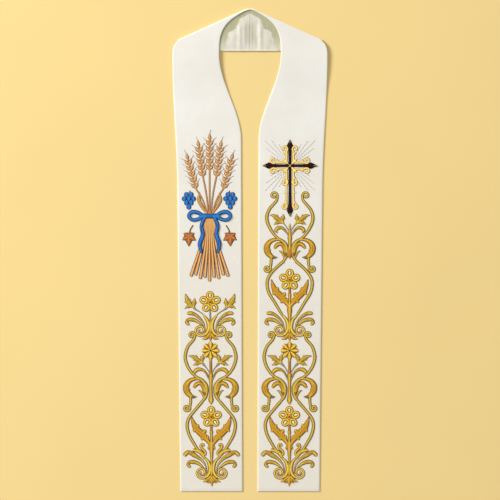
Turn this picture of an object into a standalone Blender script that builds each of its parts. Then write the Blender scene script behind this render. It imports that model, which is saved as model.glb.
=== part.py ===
"""Clerical stole, laid flat with its neck folded at the shoulders. Metres, +Z up.

X runs across the two bands, Y from the hems up to the neck point, and the cloth lies on Z = 0.
The origin is under the middle of the stole, on the surface that it lies on. The embroidery is
raised satin stitch: strokes of varying width, joined into one plate for each motif.
"""

import math

import bmesh
import bpy
from mathutils import Vector
from mathutils.geometry import convex_hull_2d, delaunay_2d_cdt

MM = 0.001

# Driving sizes
LENGTH = 1215 * MM            # hem to neck point, as it lies
HEM_OUTER = 172 * MM          # centre line to a band's outer edge, at the hem
HEM_INNER = 22.5 * MM         # centre line to a band's inner edge, at the hem
CHEST_INNER = 25 * MM         # centre line to a band's inner edge, below the neck opening
SIDE_OUTER = 185 * MM         # centre line to the outer edge where its straight run would end
SHOULDER_OUTER = 194.5 * MM   # centre line to the outer edge, below the shoulder
NECK_HALF = 77.5 * MM         # half of the neck opening at its widest
BACK_DEPTH = 110 * MM         # centre back seam, neck point to lower edge
FOLD_SLOPE = 0.453            # fall of a shoulder fold for each metre outwards
CLOTH = 1.6 * MM              # face cloth with its interlining
LINING = 1.0 * MM             # neck lining
THREAD = 1.0 * MM             # raised satin stitch
SEAM_GAP = 0.3 * MM           # between pieces that are sewn or lie together
TURNED_EDGE = 4 * MM          # face cloth that shows below the lining at the lower edge

# Heights that follow from them
NECK_Y = LENGTH / 2
HEM_Y = -LENGTH / 2
BACK_EDGE_Y = NECK_Y - BACK_DEPTH
LINING_Z = CLOTH + SEAM_GAP
FRONT_Z = LINING_Z + LINING + SEAM_GAP   # underside of the front where it lies on the back
FOLD_RADIUS = (FRONT_Z + CLOTH) / 2
STITCH_Z = CLOTH + SEAM_GAP
RIBBON_Z = STITCH_Z + THREAD + SEAM_GAP  # the ribbon is stitched over the stalks
SEAM_X = SEAM_GAP / 2
FOLD_COS = 1 / math.hypot(1, FOLD_SLOPE)
FOLD_DROP = FOLD_RADIUS / FOLD_COS       # silhouette down to the line where the cloth starts to turn

# Where the outline changes, measured down from the neck point
SIDE_FLARE = (458 * MM, 130 * MM)        # outer edge widens from the first depth to the second
NECK_FLARE = (332 * MM, 118 * MM)        # inner edge widens from the first depth to the second
ARCH_DEPTH = 105 * MM                    # below this the neck edge is straight down
ARCH_SIDE = 47 * MM                      # depth of the arch's upper side control
ARCH_TOP = (45 * MM, 26 * MM)            # the arch's top control: out from the seam and below the fold
CORNER_DEPTH = 118 * MM                  # the shoulder corner starts to round here
CORNER_CONTROL = 94 * MM
CORNER_X = 180 * MM                      # where the rounded corner meets the fold
BACK_LEVEL_X = 95 * MM                   # the back's lower edge is level out to here, then rises
STEP_DOWN = (112.5 * MM, 145 * MM)       # the front comes down off the back between these depths

# Mesh steps
COLUMNS = 10
STRAIGHT_ROWS = 12
NECK_ROWS = 28
TURN_STEPS = 6
BACK_ROWS = 3
LINING_COLUMNS = 34
LINING_ROWS = 12
EDGE_STEPS = 60
CORNER_STEPS = 16
ARCH_STEPS = 40

# Soft upright folds of the neck lining: half of them, mirrored by the centre back seam
LINING_FOLDS = (
    # centre_mm, width_mm, height_mm
    (3.5, 4.0, 0.5),
    (13.0, 5.0, 0.6),
    (26.0, 6.5, 1.5),
    (42.0, 9.0, 0.7),
    (57.0, 7.0, 0.5),
)
LINING_INSET = 16 * MM                   # the lining stops this far inside the shoulder corner
LINING_CROWDING = 1.35                   # above 1, more of its columns stand near the centre back
FOLD_WINDOW = (66 * MM, 82 * MM)         # half width and height of the part of the lining that shows
FOLD_FADE = 2.2                          # how sharply the folds die out at the window's rim
FOLD_AT_EDGE = (0.35, 30 * MM)           # share of the folds at the lower edge, and where they are whole

# Embroidery. Each motif is in millimetres from its own centre line and origin. A stroke is a row of
# points (x, y, width), smoothed into a curve. Its curl, if any, carries it on round a centre:
# (x, y, turn in degrees, end radius, end width). Strokes under "pair" are mirrored.
NO_CURL = None
FLOWER_Y = -218.4
BLOSSOM_Y = 70.8
ROSETTE_Y = -50.7
MOTIFS = {
    "fountain": {
        "pair": (
            (((15.5, 36.5, 3.5), (8, 26.5, 6), (4.3, 14, 7), (4.6, 3, 6.8), (10, -7.3, 6.3), (17, -12.3, 6)),
             (25, 0, 522, 3, 5)),
            (((55.6, 15.8, 6), (59.4, 20.5, 6.5), (55, 26.8, 7), (46, 27.2, 8.5), (36, 24.6, 7.5),
              (26, 17.5, 5), (18.6, 9.5, 3.6)), NO_CURL),
        ),
        "centre": ((((0, 28, 2), (0, 16, 5), (0, 0, 5), (0, -12, 7)), NO_CURL),),
    },
    "club_plumes": {
        "pair": (
            (((53.6, 43, 7.5), (46, 42.6, 8.2), (38, 39.5, 7), (27, 31, 5.5), (18.5, 20, 4.5), (14.8, 8, 4),
              (14, -3, 4)), NO_CURL),
        ),
    },
    "curled_plumes": {
        "pair": (
            (((66, 46, 8.5), (60.5, 51.5, 7.5), (52, 49.5, 9), (43, 44, 9.5), (33, 38, 7), (22, 28.5, 5),
              (14.8, 16, 4), (12.8, 0, 4)), NO_CURL),
        ),
    },
    "small_foot": {
        "pair": ((((2, -6, 4), (6, -14, 8), (12, -19.5, 8), (19, -21.5, 3.5)), NO_CURL),),
        "centre": ((((0, -8, 5), (0, -19, 7), (0, -28, 1.5)), NO_CURL),),
    },
    "large_foot": {
        "pair": (
            (((2, -8, 5), (8, -15, 8), (14, -20, 7), (21, -22.3, 3)), NO_CURL),
            (((3, -16, 5), (7, -23, 5), (12, -25.5, 2.5)), NO_CURL),
        ),
        "centre": ((((0, -10, 6), (0, -22, 9), (0, -34.5, 1.5)), NO_CURL),),
    },
    "blossom_branches": {
        "pair": (
            (((61.8, 92, 1.2), (59.3, 83, 6.5), (55.5, 73, 9), (49.5, 64.5, 6.5), (43, 58.5, 4)), NO_CURL),
            (((38.7, 81, 1.2), (39.5, 73, 6.5), (41, 66, 7), (42, 58, 4)), NO_CURL),
            (((64, 54.3, 1.2), (56.5, 60, 6), (49.5, 61.3, 7), (41.5, 58, 4)), NO_CURL),
            (((43.5, 60, 4.5), (39.5, 55.5, 6.5), (35, 51.5, 4), (25.5, 46, 2.8), (12, 35, 2.8)), NO_CURL),
        ),
        "centre": ((((0, 52, 4.4), (0, 24, 4.4)), NO_CURL),),
    },
    "ogee_top": {
        "pair": (
            (((48, -106.2, 5.6), (57.3, -91.2, 6), (63.1, -73.8, 6), (63.1, -59.9, 6), (56.7, -40.2, 5.8),
              (43.4, -24.5, 5.6), (38.8, -15, 6)), (46.4, -12, -400, 2.4, 4.5)),
            (((48, -106.2, 5.6), (36.4, -116.6, 5.2), (21.4, -125.9, 7), (12.6, -139, 9), (11.2, -152.5, 9),
              (14.5, -167.5, 7), (23.7, -180.2, 6)), NO_CURL),
        ),
    },
    "ogee_sprig": {
        "pair": (
            (((55.5, -64, 1.2), (47, -65, 5.5), (38, -69.5, 9.5), (29.5, -75.5, 6.5), (21, -82, 4)), NO_CURL),
            (((20.2, -59.5, 1.2), (19.5, -66, 6.5), (22, -73, 7.5), (21, -82, 4)), NO_CURL),
            (((43.8, -87.4, 1.2), (37, -84, 6), (30, -81.5, 6.5), (21, -82, 4)), NO_CURL),
            (((24, -80, 4), (18.5, -85, 6.5), (14.5, -89.5, 4), (10, -95, 2.8), (2, -108, 2.8)), NO_CURL),
            (((41.5, -111.5, 2.2), (40.5, -104.5, 7.5), (34.5, -98.8, 8.5), (25.5, -97.8, 7), (17.5, -100.8, 5.4),
              (11, -108, 4.2), (7, -118, 3.6), (2, -128, 3)), NO_CURL),
        ),
        "centre": (
            (((0, -64, 4.4), (0, -98, 4.4), (0, -112, 9.5), (0, -122, 8), (0, -135, 5.5), (0, -150, 4.5),
              (0, -163, 6), (0, -174, 9.5), (0, -180, 6.5), (0, -186.5, 1.2)), NO_CURL),
        ),
    },
    "acanthus": {
        "pair": (
            (((27, -122.5, 3.5), (42, -122.2, 6.5), (54.5, -127.8, 9), (61.5, -139, 11.5), (60.8, -151.5, 12),
              (54, -161.5, 10), (45.5, -166.5, 6.5), (35.5, -166.4, 1.2)), NO_CURL),
            (((58, -144, 6), (54.5, -147, 5), (51.2, -148.5, 1.2)), NO_CURL),
            (((54, -160, 5), (51, -174, 5.4), (52, -188, 5.4), (53.2, -195, 5.2)), (61, -199, 430, 2.4, 4.5)),
            (((41.5, -141.5, 5.5), (37.5, -136.5, 8), (31, -132.6, 7.5), (23, -135.5, 7), (17.5, -145, 8),
              (15, -156, 7), (15, -166, 5)), NO_CURL),
            (((31.8, -150.2, 1.2), (26.5, -152.5, 5), (21, -159, 6.5), (17, -170, 5)), NO_CURL),
        ),
    },
    "ogee_foot": {
        "pair": (
            (((23.7, -180.2, 6), (41.2, -201, 5.6), (55.7, -219.8, 6), (60.6, -238.6, 6), (55.7, -261.8, 6),
              (44.1, -283.5, 5.6), (31.1, -303.7, 5.4), (19, -318, 5), (12, -326, 5)), NO_CURL),
            (((21, -313.5, 4), (15.6, -310.5, 4.4), (17, -303.5, 5), (23.5, -297, 5), (27, -291, 4.6),
              (24.8, -286.2, 4.4), (20, -286.8, 4), (20, -290.3, 3.2)), NO_CURL),
            (((42.7, -300.8, 7), (37.5, -302, 6), (30, -307, 4.5)), NO_CURL),
        ),
    },
    "flower_sprig": {
        "pair": (
            (((49.5, -224, 1.2), (45, -235, 9), (37.5, -248, 11), (27, -259.5, 13), (17.5, -269, 12),
              (9.5, -279, 8), (2, -291, 5)), NO_CURL),
            (((38, -246, 6), (32.5, -238.5, 1.2)), NO_CURL),
            (((22, -261, 8), (14, -252.5, 1.2)), NO_CURL),
            (((38, -248, 6), (44.5, -256.3, 1.2)), NO_CURL),
            (((18, -268, 8), (24.3, -276.5, 1.2)), NO_CURL),
            (((3, -288, 5), (7, -297, 4.5), (8.5, -302.5, 1.2)), NO_CURL),
        ),
        "centre": (
            (((0, -236, 4), (0, -251, 4), (0, -257.5, 8), (0, -264, 4.5), (0, -280, 6), (0, -292, 11),
              (0, -301, 9), (0, -309, 6), (0, -334, 5.5)), NO_CURL),
        ),
    },
    "lyre": {
        "pair": (
            (((47.1, -99.5, 6), (55.8, -81, 6.4), (57.6, -64.8, 6.4), (52.5, -48.6, 6), (42, -35.5, 5.6),
              (33.5, -25, 5.2), (31.2, -15.5, 5)), (40.1, -12.7, -340, 3, 5)),
            (((47.1, -99.5, 6), (36.7, -113.4, 5.4), (28, -121, 5), (16, -128.8, 7), (9.5, -139, 8.5),
              (7.5, -152, 8), (9.5, -165.5, 7), (16.5, -178.4, 6)), NO_CURL),
            (((50, -61.9, 1.2), (42, -62.8, 6), (34, -67.5, 9), (25, -74.5, 6.5), (14, -84, 4)), NO_CURL),
            (((17, -59, 1.2), (16.6, -66, 6.5), (19, -73, 7), (17, -82, 4)), NO_CURL),
            (((39.8, -85.5, 1.2), (34, -81, 6), (27.5, -79.5, 6.5), (17, -82, 4)), NO_CURL),
            (((15.5, -82, 3), (7.5, -93, 2.8), (0, -106, 2.8)), NO_CURL),
            (((31.5, -106.8, 2.2), (35, -100.5, 7), (31, -95, 8), (23, -93, 7), (15.5, -96.5, 5.4),
              (9.5, -103.5, 4.4), (3, -113, 4)), NO_CURL),
        ),
        "centre": (
            (((0, -82.5, 1.2), (0, -90, 4), (0, -97, 3.4), (0, -108, 7), (0, -118, 11), (0, -127, 8.5),
              (0, -140, 7), (0, -160, 12), (0, -172, 1.5)), NO_CURL),
        ),
    },
    "lyre_foot": {
        "pair": (
            (((16.5, -178.4, 6), (37, -196.6, 5.6), (51.7, -214.8, 6), (56.7, -232.9, 6), (52.1, -256.5, 6),
              (38, -280.1, 5.6), (23.5, -304.5, 5.2), (12, -322, 5)), NO_CURL),
        ),
    },
}

# Which motifs stand where on each panel
FOUNTAIN_Y = -203.4
REPEAT = 353.0
BASE_DROP = 357.3
COMMON_MOTIFS = (
    # motif, origin_y_mm, inward_mm
    ("fountain", FOUNTAIN_Y, 0),
    ("club_plumes", FOUNTAIN_Y, 0),
    ("small_foot", FOUNTAIN_Y, 0),
    ("ogee_top", FOUNTAIN_Y, 0),
    ("ogee_sprig", FOUNTAIN_Y, 0),
    ("acanthus", FOUNTAIN_Y, 0),
    ("ogee_foot", FOUNTAIN_Y, 0),
    ("flower_sprig", FOUNTAIN_Y, 0),
    ("fountain", FOUNTAIN_Y - BASE_DROP, 0),
    ("curled_plumes", FOUNTAIN_Y - BASE_DROP, 0),
    ("large_foot", FOUNTAIN_Y - BASE_DROP, 0),
)
PANELS = {
    "left": {
        "axis_mm": (-102.0, -98.5),       # the design's centre line, at the panel's top and at the hem
        "motifs": COMMON_MOTIFS + (("blossom_branches", FOUNTAIN_Y, 0),),
        "flowers": (FOUNTAIN_Y + BLOSSOM_Y, FOUNTAIN_Y + FLOWER_Y),
        "rosettes": (FOUNTAIN_Y + ROSETTE_Y,),
    },
    "right": {
        "axis_mm": (100.3, 97.3),
        "motifs": COMMON_MOTIFS
        + (
            ("lyre", FOUNTAIN_Y + REPEAT, 0),
            ("lyre_foot", FOUNTAIN_Y + REPEAT, 0),
            ("acanthus", FOUNTAIN_Y + REPEAT, 4.5),
            ("flower_sprig", FOUNTAIN_Y + REPEAT, 3),
        ),
        "flowers": (FOUNTAIN_Y + REPEAT + FLOWER_Y, FOUNTAIN_Y + FLOWER_Y),
        "rosettes": (FOUNTAIN_Y + ROSETTE_Y,),
    },
}
PANEL_TOP_Y = 285.0

# Flowers, in millimetres
PETALS = 5
PETAL_CENTRE = 15.8
PETAL_HALF = (8.0, 7.0)       # half length and half width of a petal's ring
PETAL_STROKE = 5.5
PETAL_SIDES = 10
FLOWER_EYE = 18.0
ROSETTE_PETALS = 8
ROSETTE_PETAL = ((0, 2, 6), (0, 11, 9), (0, 17.5, 8))

# Cross on the right panel, in millimetres from its crossing
CROSS_AT = (99.8, 211.7)
CROSS_ARMS = (
    ((0, 65.5, 0.8), (0, 50.5, 14.6), (0, 40, 7.5), (0, 26, 6), (0, 0, 5.5), (0, -60, 5.8), (0, -99, 8),
     (0, -113, 14.6), (0, -127.8, 0.8)),
    ((-68.8, 0, 0.8), (-53.5, 0, 14.6), (-42, 0, 7.5), (-28, 0, 6), (0, 0, 5.5), (28, 0, 6), (42, 0, 7.5),
     (53.5, 0, 14.6), (68.8, 0, 0.8)),
)
CROSS_CORNER = (
    # strokes of the corner's upright side, also swapped over the diagonal for its level side
    (((9.5, 9.5, 4), (8.5, 24, 4), (8.5, 36, 4)), (13.3, 42.5, -290, 2.8, 3.6)),
    (((8.5, 27, 3), (11.5, 31, 4), (16, 34.5, 1.2)), NO_CURL),
)
CROSS_DIAGONAL = (((7.5, 7.5, 5), (13, 13, 5), (19, 19, 1.2)), NO_CURL)
CROSS_STEM_SIDE = (
    # strokes beside the long lower arm
    (((8.5, -34, 3.5), (9, -56, 3), (9, -70, 3), (9.5, -88, 3.5), (9.5, -96, 4)), (14.6, -102, 290, 2.8, 3.6)),
    (((8.5, -66, 3), (12, -67.5, 3), (16, -68.3, 1.2)), NO_CURL),
    (((9, -88, 3), (12, -93, 4), (17, -95.5, 1.2)), NO_CURL),
)

# Wheat sheaf with grapes on the left panel, in millimetres from its middle
SHEAF_AT = (-101.5, 95.3)
EARS = (
    # base_x, base_y, lean_deg, length
    (0, 104, 0, 76),
    (17, 88, 8, 76),
    (35, 58, 15, 76),
)
EAR_STALK = 4                 # width
TIE_Y = -12
TIE_GATHER = 0.125            # share of an ear's distance from the middle that its stalk has at the tie
GRAIN_PAIRS = 5
GRAIN = ((0, 0, 3), (0, 7.5, 9), (0, 18, 1.5))
GRAIN_SPLAY = 32
TOP_GRAIN_LAP = 2
STALKS = 4                    # to each side of the middle one, below the tie
STALK_SPACING = (2.5, 11.5)   # at the tie and at the foot
STALK_WIDTHS = (5, 7, 9)      # at the tie, halfway and at the foot
STALK_BULGE = 0.45            # share of its foot's distance that a stalk has halfway
STALK_FOOT_Y = -172
STALK_STAGGER = (6, 3)        # every other foot is higher, and so is each one further out
BLADE = ((5, -8, 4), (20, 14, 9), (27, 30, 10), (25, 48, 2))
RIBBON_TIE = ((-20, -12, 14), (0, -12, 12), (20, -12, 14))
RIBBON_LOOP = ((16, -12, 9), (30, -3, 10), (45, -2, 10), (52, -12, 9), (44, -21, 9), (30, -20, 9), (16, -12, 9))
RIBBON_TAIL = ((12, -14, 9), (20, -36, 10), (17, -58, 11), (24, -82, 12), (21, -102, 7))
GRAPE_AT = (52, 42)
GRAPE_R = 6.6
GRAPE_PITCH = (11.6, -10.4)
GRAPE_ROWS = (2, 3, 2, 1)
GRAPE_STEM = ((0, 0, 4), (-3, 10, 2.8))
VINE_LEAF_AT = (52, -62)
VINE_LOBES = (
    # lean_deg, length, width
    (0, 26, 18),
    (58, 21, 16),
    (-58, 19, 16),
    (118, 16, 13),
    (-118, 15, 13),
)
LOBE_ROOT = -2
LOBE_WIDEST = 0.45            # share of the lobe's length
LOBE_TIP = 1.5
VINE_STEM = ((0, 2, 5), (-4, 16, 3.4), (-10, 26, 3.4))

# How the embroidery is meshed, in millimetres and degrees
DOT = 0.1                     # length of a stroke that is only a dot
CURVE_STEPS = 3
CURL_STEP = 30
CAP_SIDES = 8
CAP_WIDTH = 3.0               # a stroke's end this wide or wider is round
MERGE = 1e-4
BRIDGE_RADIUS = 0.7           # joins parts that would only touch
BRIDGE_ROUNDS = 5
SQUARE = 20                   # side of the squares that strokes are filed under
OUTLINE_DRIFT = 0.65          # how far a point may lie off the thinned outline and be dropped
SHARP_ANGLE = math.radians(50)
WELD = 1e-7


def smooth(t):
    t = min(1.0, max(0.0, t))
    return t * t * (3 - 2 * t)


def mix(a, b, t):
    return a + (b - a) * t


def rise(depth, flare):
    """0 below the first depth of a flare and 1 above the second."""
    start, end = flare
    return smooth((start - depth) / (start - end))


def outer_x(y):
    """Outer edge of a band, straight from the hem, then flaring to the shoulder."""
    straight_end = NECK_Y - SIDE_FLARE[1]
    t = min(1.0, (y - HEM_Y) / (straight_end - HEM_Y))
    flare = (SHOULDER_OUTER - SIDE_OUTER) * rise(NECK_Y - y, SIDE_FLARE)
    return mix(HEM_OUTER, SIDE_OUTER, t) + flare


def inner_x(y):
    """Inner edge of a band, nearly straight from the hem, then opening round the neck."""
    chest_y = NECK_Y - NECK_FLARE[0]
    t = min(1.0, (y - HEM_Y) / (chest_y - HEM_Y))
    return mix(HEM_INNER, CHEST_INNER, t) + (NECK_HALF - CHEST_INNER) * rise(NECK_Y - y, NECK_FLARE)


def turn_line_y(x):
    """The line where the front starts to turn over at the shoulder."""
    return NECK_Y - FOLD_DROP - FOLD_SLOPE * x


def bezier(points, t):
    """A point on the Bezier curve through its first and last control points."""
    while len(points) > 1:
        points = [a.lerp(b, t) for a, b in zip(points, points[1:])]
    return points[0]


def along(path, count):
    """count + 1 points at even distances along a path of many short steps."""
    lengths = [0.0]
    for a, b in zip(path, path[1:]):
        lengths.append(lengths[-1] + (b - a).length)
    found = []
    i = 0
    for k in range(count + 1):
        want = lengths[-1] * k / count
        while i < len(path) - 2 and lengths[i + 1] < want:
            i += 1
        step = lengths[i + 1] - lengths[i]
        found.append(path[i].lerp(path[i + 1], (want - lengths[i]) / step))
    return found


def edge_path(x_of, low, high):
    heights = (mix(low, high, i / EDGE_STEPS) for i in range(EDGE_STEPS + 1))
    return [Vector((x_of(y), y)) for y in heights]


def outer_path(start):
    """From a height on the straight outer edge, round the shoulder corner, to the fold."""
    side = edge_path(outer_x, start, NECK_Y - CORNER_DEPTH)
    controls = [
        side[-1],
        Vector((SHOULDER_OUTER, NECK_Y - CORNER_CONTROL)),
        Vector((CORNER_X, turn_line_y(CORNER_X))),
    ]
    return side + [bezier(controls, i / CORNER_STEPS) for i in range(1, CORNER_STEPS + 1)]


def inner_path(start):
    """From the same height on the inner edge, up the neck edge, to the neck point."""
    side = edge_path(inner_x, start, NECK_Y - ARCH_DEPTH)
    end = Vector((SEAM_X, turn_line_y(SEAM_X)))
    controls = [
        side[-1],
        Vector((NECK_HALF, NECK_Y - ARCH_SIDE)),
        Vector((ARCH_TOP[0], end.y - ARCH_TOP[1])),
        end,
    ]
    return side + [bezier(controls, i / ARCH_STEPS) for i in range(1, ARCH_STEPS + 1)]


def front_lift(y):
    """Height of the front's underside: on the surface, or on the back of the neck."""
    high, low = STEP_DOWN
    return FRONT_Z * smooth((low - (NECK_Y - y)) / (low - high))


def back_edge_y(x):
    """Lower edge of the back of the neck: level in the opening, rising to the shoulder corner."""
    t = max(0.0, (x - BACK_LEVEL_X) / (CORNER_X - BACK_LEVEL_X))
    return mix(BACK_EDGE_Y, turn_line_y(CORNER_X), t * t)


def band_rows():
    """Rows of (face side, wrong side) points from the hem, over the shoulder, to the back's edge."""
    chest_y = NECK_Y - NECK_FLARE[0]
    ends = [
        (Vector((outer_x(y), y)), Vector((inner_x(y), y)))
        for y in (mix(HEM_Y, chest_y, i / STRAIGHT_ROWS) for i in range(STRAIGHT_ROWS))
    ]
    ends += zip(along(outer_path(chest_y), NECK_ROWS), along(inner_path(chest_y), NECK_ROWS))
    rows = []
    for outer, inner in ends:
        row = []
        for j in range(COLUMNS + 1):
            p = outer.lerp(inner, j / COLUMNS)
            z = front_lift(p.y)
            row.append(((p.x, p.y, z + CLOTH), (p.x, p.y, z)))
        rows.append(row)
    turn = [Vector(face[:2]) for face, _ in rows[-1]]
    across = Vector((FOLD_SLOPE * FOLD_COS, FOLD_COS))
    upright = Vector((0, 1 / FOLD_COS))
    for k in range(1, TURN_STEPS + 1):
        angle = math.pi * (0.5 - k / TURN_STEPS)
        row = []
        for j, p in enumerate(turn):
            out = across.lerp(upright, j / COLUMNS) * math.cos(angle)
            row.append(
                tuple(
                    (p.x + out.x * r, p.y + out.y * r, FOLD_RADIUS + r * math.sin(angle))
                    for r in (FOLD_RADIUS, FOLD_RADIUS - CLOTH)
                )
            )
        rows.append(row)
    for k in range(1, BACK_ROWS + 1):
        row = []
        for p in turn:
            y = mix(p.y, back_edge_y(p.x), k / BACK_ROWS)
            row.append(((p.x, y, 0.0), (p.x, y, CLOTH)))
        rows.append(row)
    return rows


def lining_fold(x, y):
    """Height that the lining's soft folds add, fading out where the front covers it."""
    half_width, height = FOLD_WINDOW
    inside = 1 - (x / half_width) ** 2 - ((y - BACK_EDGE_Y) / height) ** 2
    least, whole = FOLD_AT_EDGE
    edge = mix(least, 1.0, smooth((y - BACK_EDGE_Y) / whole))
    total = sum(h * math.exp(-(((x / MM - c) / w) ** 2)) for c, w, h in LINING_FOLDS)
    return total * MM * smooth(inside * FOLD_FADE) * edge


def lining_rows():
    """Rows of (upper, under) points of half the lining, from the centre back seam outwards."""
    rows = []
    for i in range(LINING_COLUMNS + 1):
        x = mix(SEAM_X, CORNER_X - LINING_INSET, (i / LINING_COLUMNS) ** LINING_CROWDING)
        low = back_edge_y(x) + TURNED_EDGE
        high = turn_line_y(x)
        row = []
        for j in range(LINING_ROWS + 1):
            y = mix(low, high, j / LINING_ROWS)
            z = LINING_Z + lining_fold(x, y)
            row.append(((x, y, z + LINING), (x, y, z)))
        rows.append(row)
    return rows


def add_object(name, bm, material):
    """A named object from a closed bmesh, shaded smooth with sharp rims."""
    bmesh.ops.recalc_face_normals(bm, faces=bm.faces)
    mesh = bpy.data.meshes.new(name)
    bm.to_mesh(mesh)
    bm.free()
    mesh.shade_smooth()
    mesh.set_sharp_from_angle(angle=SHARP_ANGLE)
    mesh.materials.append(material)
    obj = bpy.data.objects.new(name, mesh)
    bpy.context.scene.collection.objects.link(obj)
    return obj


def wall(name, rows, side, material):
    """A closed cloth wall from rows of point pairs. side is 1, or -1 for the mirrored piece."""
    bm = bmesh.new()
    upper, under = (
        [[bm.verts.new((side * p[layer][0], p[layer][1], p[layer][2])) for p in row] for row in rows]
        for layer in (0, 1)
    )
    faces = []
    last_row, last_column = len(rows) - 1, len(rows[0]) - 1
    for i in range(last_row):
        for j in range(last_column):
            faces.append((upper[i][j], upper[i][j + 1], upper[i + 1][j + 1], upper[i + 1][j]))
            faces.append((under[i][j], under[i + 1][j], under[i + 1][j + 1], under[i][j + 1]))
        for j in (0, last_column):
            faces.append((upper[i][j], upper[i + 1][j], under[i + 1][j], under[i][j]))
    for j in range(last_column):
        for i in (0, last_row):
            faces.append((upper[i][j], under[i][j], under[i][j + 1], upper[i][j + 1]))
    for corners in faces:
        bm.faces.new(corners)
    bmesh.ops.remove_doubles(bm, verts=bm.verts, dist=WELD)
    bmesh.ops.dissolve_degenerate(bm, edges=bm.edges, dist=WELD)
    return add_object(name, bm, material)


def smooth_stroke(points):
    """A Catmull-Rom curve through (x, y, width) points."""
    points = [Vector(p) for p in points]
    ends = [2 * points[0] - points[1]] + points + [2 * points[-1] - points[-2]]
    found = [points[0]]
    for a, b, c, d in zip(ends, ends[1:], ends[2:], ends[3:]):
        for k in range(1, CURVE_STEPS + 1):
            t = k / CURVE_STEPS
            p = 2 * b + (c - a) * t + (2 * a - 5 * b + 4 * c - d) * t**2 + (3 * b - a - 3 * c + d) * t**3
            found.append(Vector((p.x / 2, p.y / 2, mix(b.z, c.z, t))))
    return found


def curl_on(path, curl):
    """Carries a path on round a curl's centre while its radius and width shrink."""
    x, y, turn, end_radius, end_width = curl
    start = path[-1]
    radius = math.hypot(start.x - x, start.y - y)
    angle = math.atan2(start.y - y, start.x - x)
    steps = round(abs(turn) / CURL_STEP)
    for k in range(1, steps + 1):
        t = k / steps
        a = angle + math.radians(turn) * t
        r = mix(radius, end_radius, t)
        path.append(Vector((x + r * math.cos(a), y + r * math.sin(a), mix(start.z, end_width, t))))
    return path


def stroke(points, curl=NO_CURL):
    path = smooth_stroke(points)
    return curl_on(path, curl) if curl else path


def turned(path, degrees, x, y):
    """A path turned about its origin, anticlockwise, and moved."""
    c, s = math.cos(math.radians(degrees)), math.sin(math.radians(degrees))
    return [Vector((x + p.x * c - p.y * s, y + p.x * s + p.y * c, p.z)) for p in path]


def dot(x, y, width):
    return [Vector((x, y, width)), Vector((x, y + DOT, width))]


def mirrored(path):
    return [Vector((-p.x, p.y, p.z)) for p in path]


def both_sides(paths):
    return paths + [mirrored(path) for path in paths]


def motif_paths(motif, inward):
    """All of a motif's strokes about its own centre line."""
    pair = [[Vector((p.x - inward, p.y, p.z)) for p in stroke(*row)] for row in motif["pair"]]
    return both_sides(pair) + [stroke(*row) for row in motif.get("centre", ())]


def flower_paths():
    """A blossom: rings for petals, with an eye."""
    along_half, across_half = PETAL_HALF
    ring = []
    for k in range(PETAL_SIDES + 1):
        a = 2 * math.pi * k / PETAL_SIDES
        ring.append(Vector((across_half * math.sin(a), PETAL_CENTRE - along_half * math.cos(a), PETAL_STROKE)))
    return [turned(ring, 360 * k / PETALS, 0, 0) for k in range(PETALS)] + [dot(0, 0, FLOWER_EYE)]


def rosette_paths():
    petal = stroke(ROSETTE_PETAL)
    return [turned(petal, 360 * k / ROSETTE_PETALS, 0, 0) for k in range(ROSETTE_PETALS)]


def panel_paths(panel):
    """All strokes of a scroll panel, in millimetres on the stole."""
    top_x, hem_x = panel["axis_mm"]
    hem_mm = HEM_Y / MM
    placed = [(motif_paths(MOTIFS[name], inward), y) for name, y, inward in panel["motifs"]]
    placed += [(flower_paths(), y) for y in panel["flowers"]]
    placed += [(rosette_paths(), y) for y in panel["rosettes"]]
    found = []
    for paths, origin in placed:
        for path in paths:
            row = []
            for p in path:
                y = origin + p.y
                x = mix(hem_x, top_x, (y - hem_mm) / (PANEL_TOP_Y - hem_mm)) + p.x
                row.append(Vector((x, y, p.z)))
            found.append(row)
    return found


def ear_paths(base_x, base_y, lean, length):
    """A wheat ear: its stalk from the tie, grains in pairs and one at the top."""
    stalk = (
        (base_x * TIE_GATHER, TIE_Y, EAR_STALK),
        (base_x / 2, base_y / 2, EAR_STALK),
        (base_x, base_y, EAR_STALK),
    )
    ear = [stroke(((0, 0, EAR_STALK), (0, length, EAR_STALK)))]
    grain = stroke(GRAIN)
    for k in range(GRAIN_PAIRS):
        for side in (-1, 1):
            ear.append(turned(grain, side * GRAIN_SPLAY, 0, length * k / GRAIN_PAIRS))
    ear.append(turned(grain, 0, 0, length - TOP_GRAIN_LAP))
    return [stroke(stalk)] + [turned(path, -lean, base_x, base_y) for path in ear]


def sheaf_paths():
    """Ears, stalks and blades of the wheat sheaf."""
    found = []
    for base_x, base_y, lean, length in EARS:
        ear = ear_paths(base_x, base_y, lean, length)
        found += both_sides(ear) if base_x else ear
    tie_spacing, foot_spacing = STALK_SPACING
    tie_width, half_width, foot_width = STALK_WIDTHS
    alternate, outward = STALK_STAGGER
    for k in range(-STALKS, STALKS + 1):
        y = STALK_FOOT_Y + alternate * (abs(k) % 2) + outward * abs(k)
        points = (
            (k * tie_spacing, TIE_Y, tie_width),
            (k * foot_spacing * STALK_BULGE, y / 2, half_width),
            (k * foot_spacing, y, foot_width),
        )
        found.append(stroke(points))
    return found + both_sides([stroke(BLADE)])


def ribbon_paths():
    return [stroke(RIBBON_TIE)] + both_sides([stroke(RIBBON_LOOP), stroke(RIBBON_TAIL)])


def grape_paths():
    """A bunch of grapes hanging from its stem."""
    pitch_x, pitch_y = GRAPE_PITCH
    found = [stroke(GRAPE_STEM)]
    for i, count in enumerate(GRAPE_ROWS):
        for k in range(count):
            found.append(dot((k - (count - 1) / 2) * pitch_x, i * pitch_y, 2 * GRAPE_R))
    return placed_at(found, GRAPE_AT)


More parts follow.
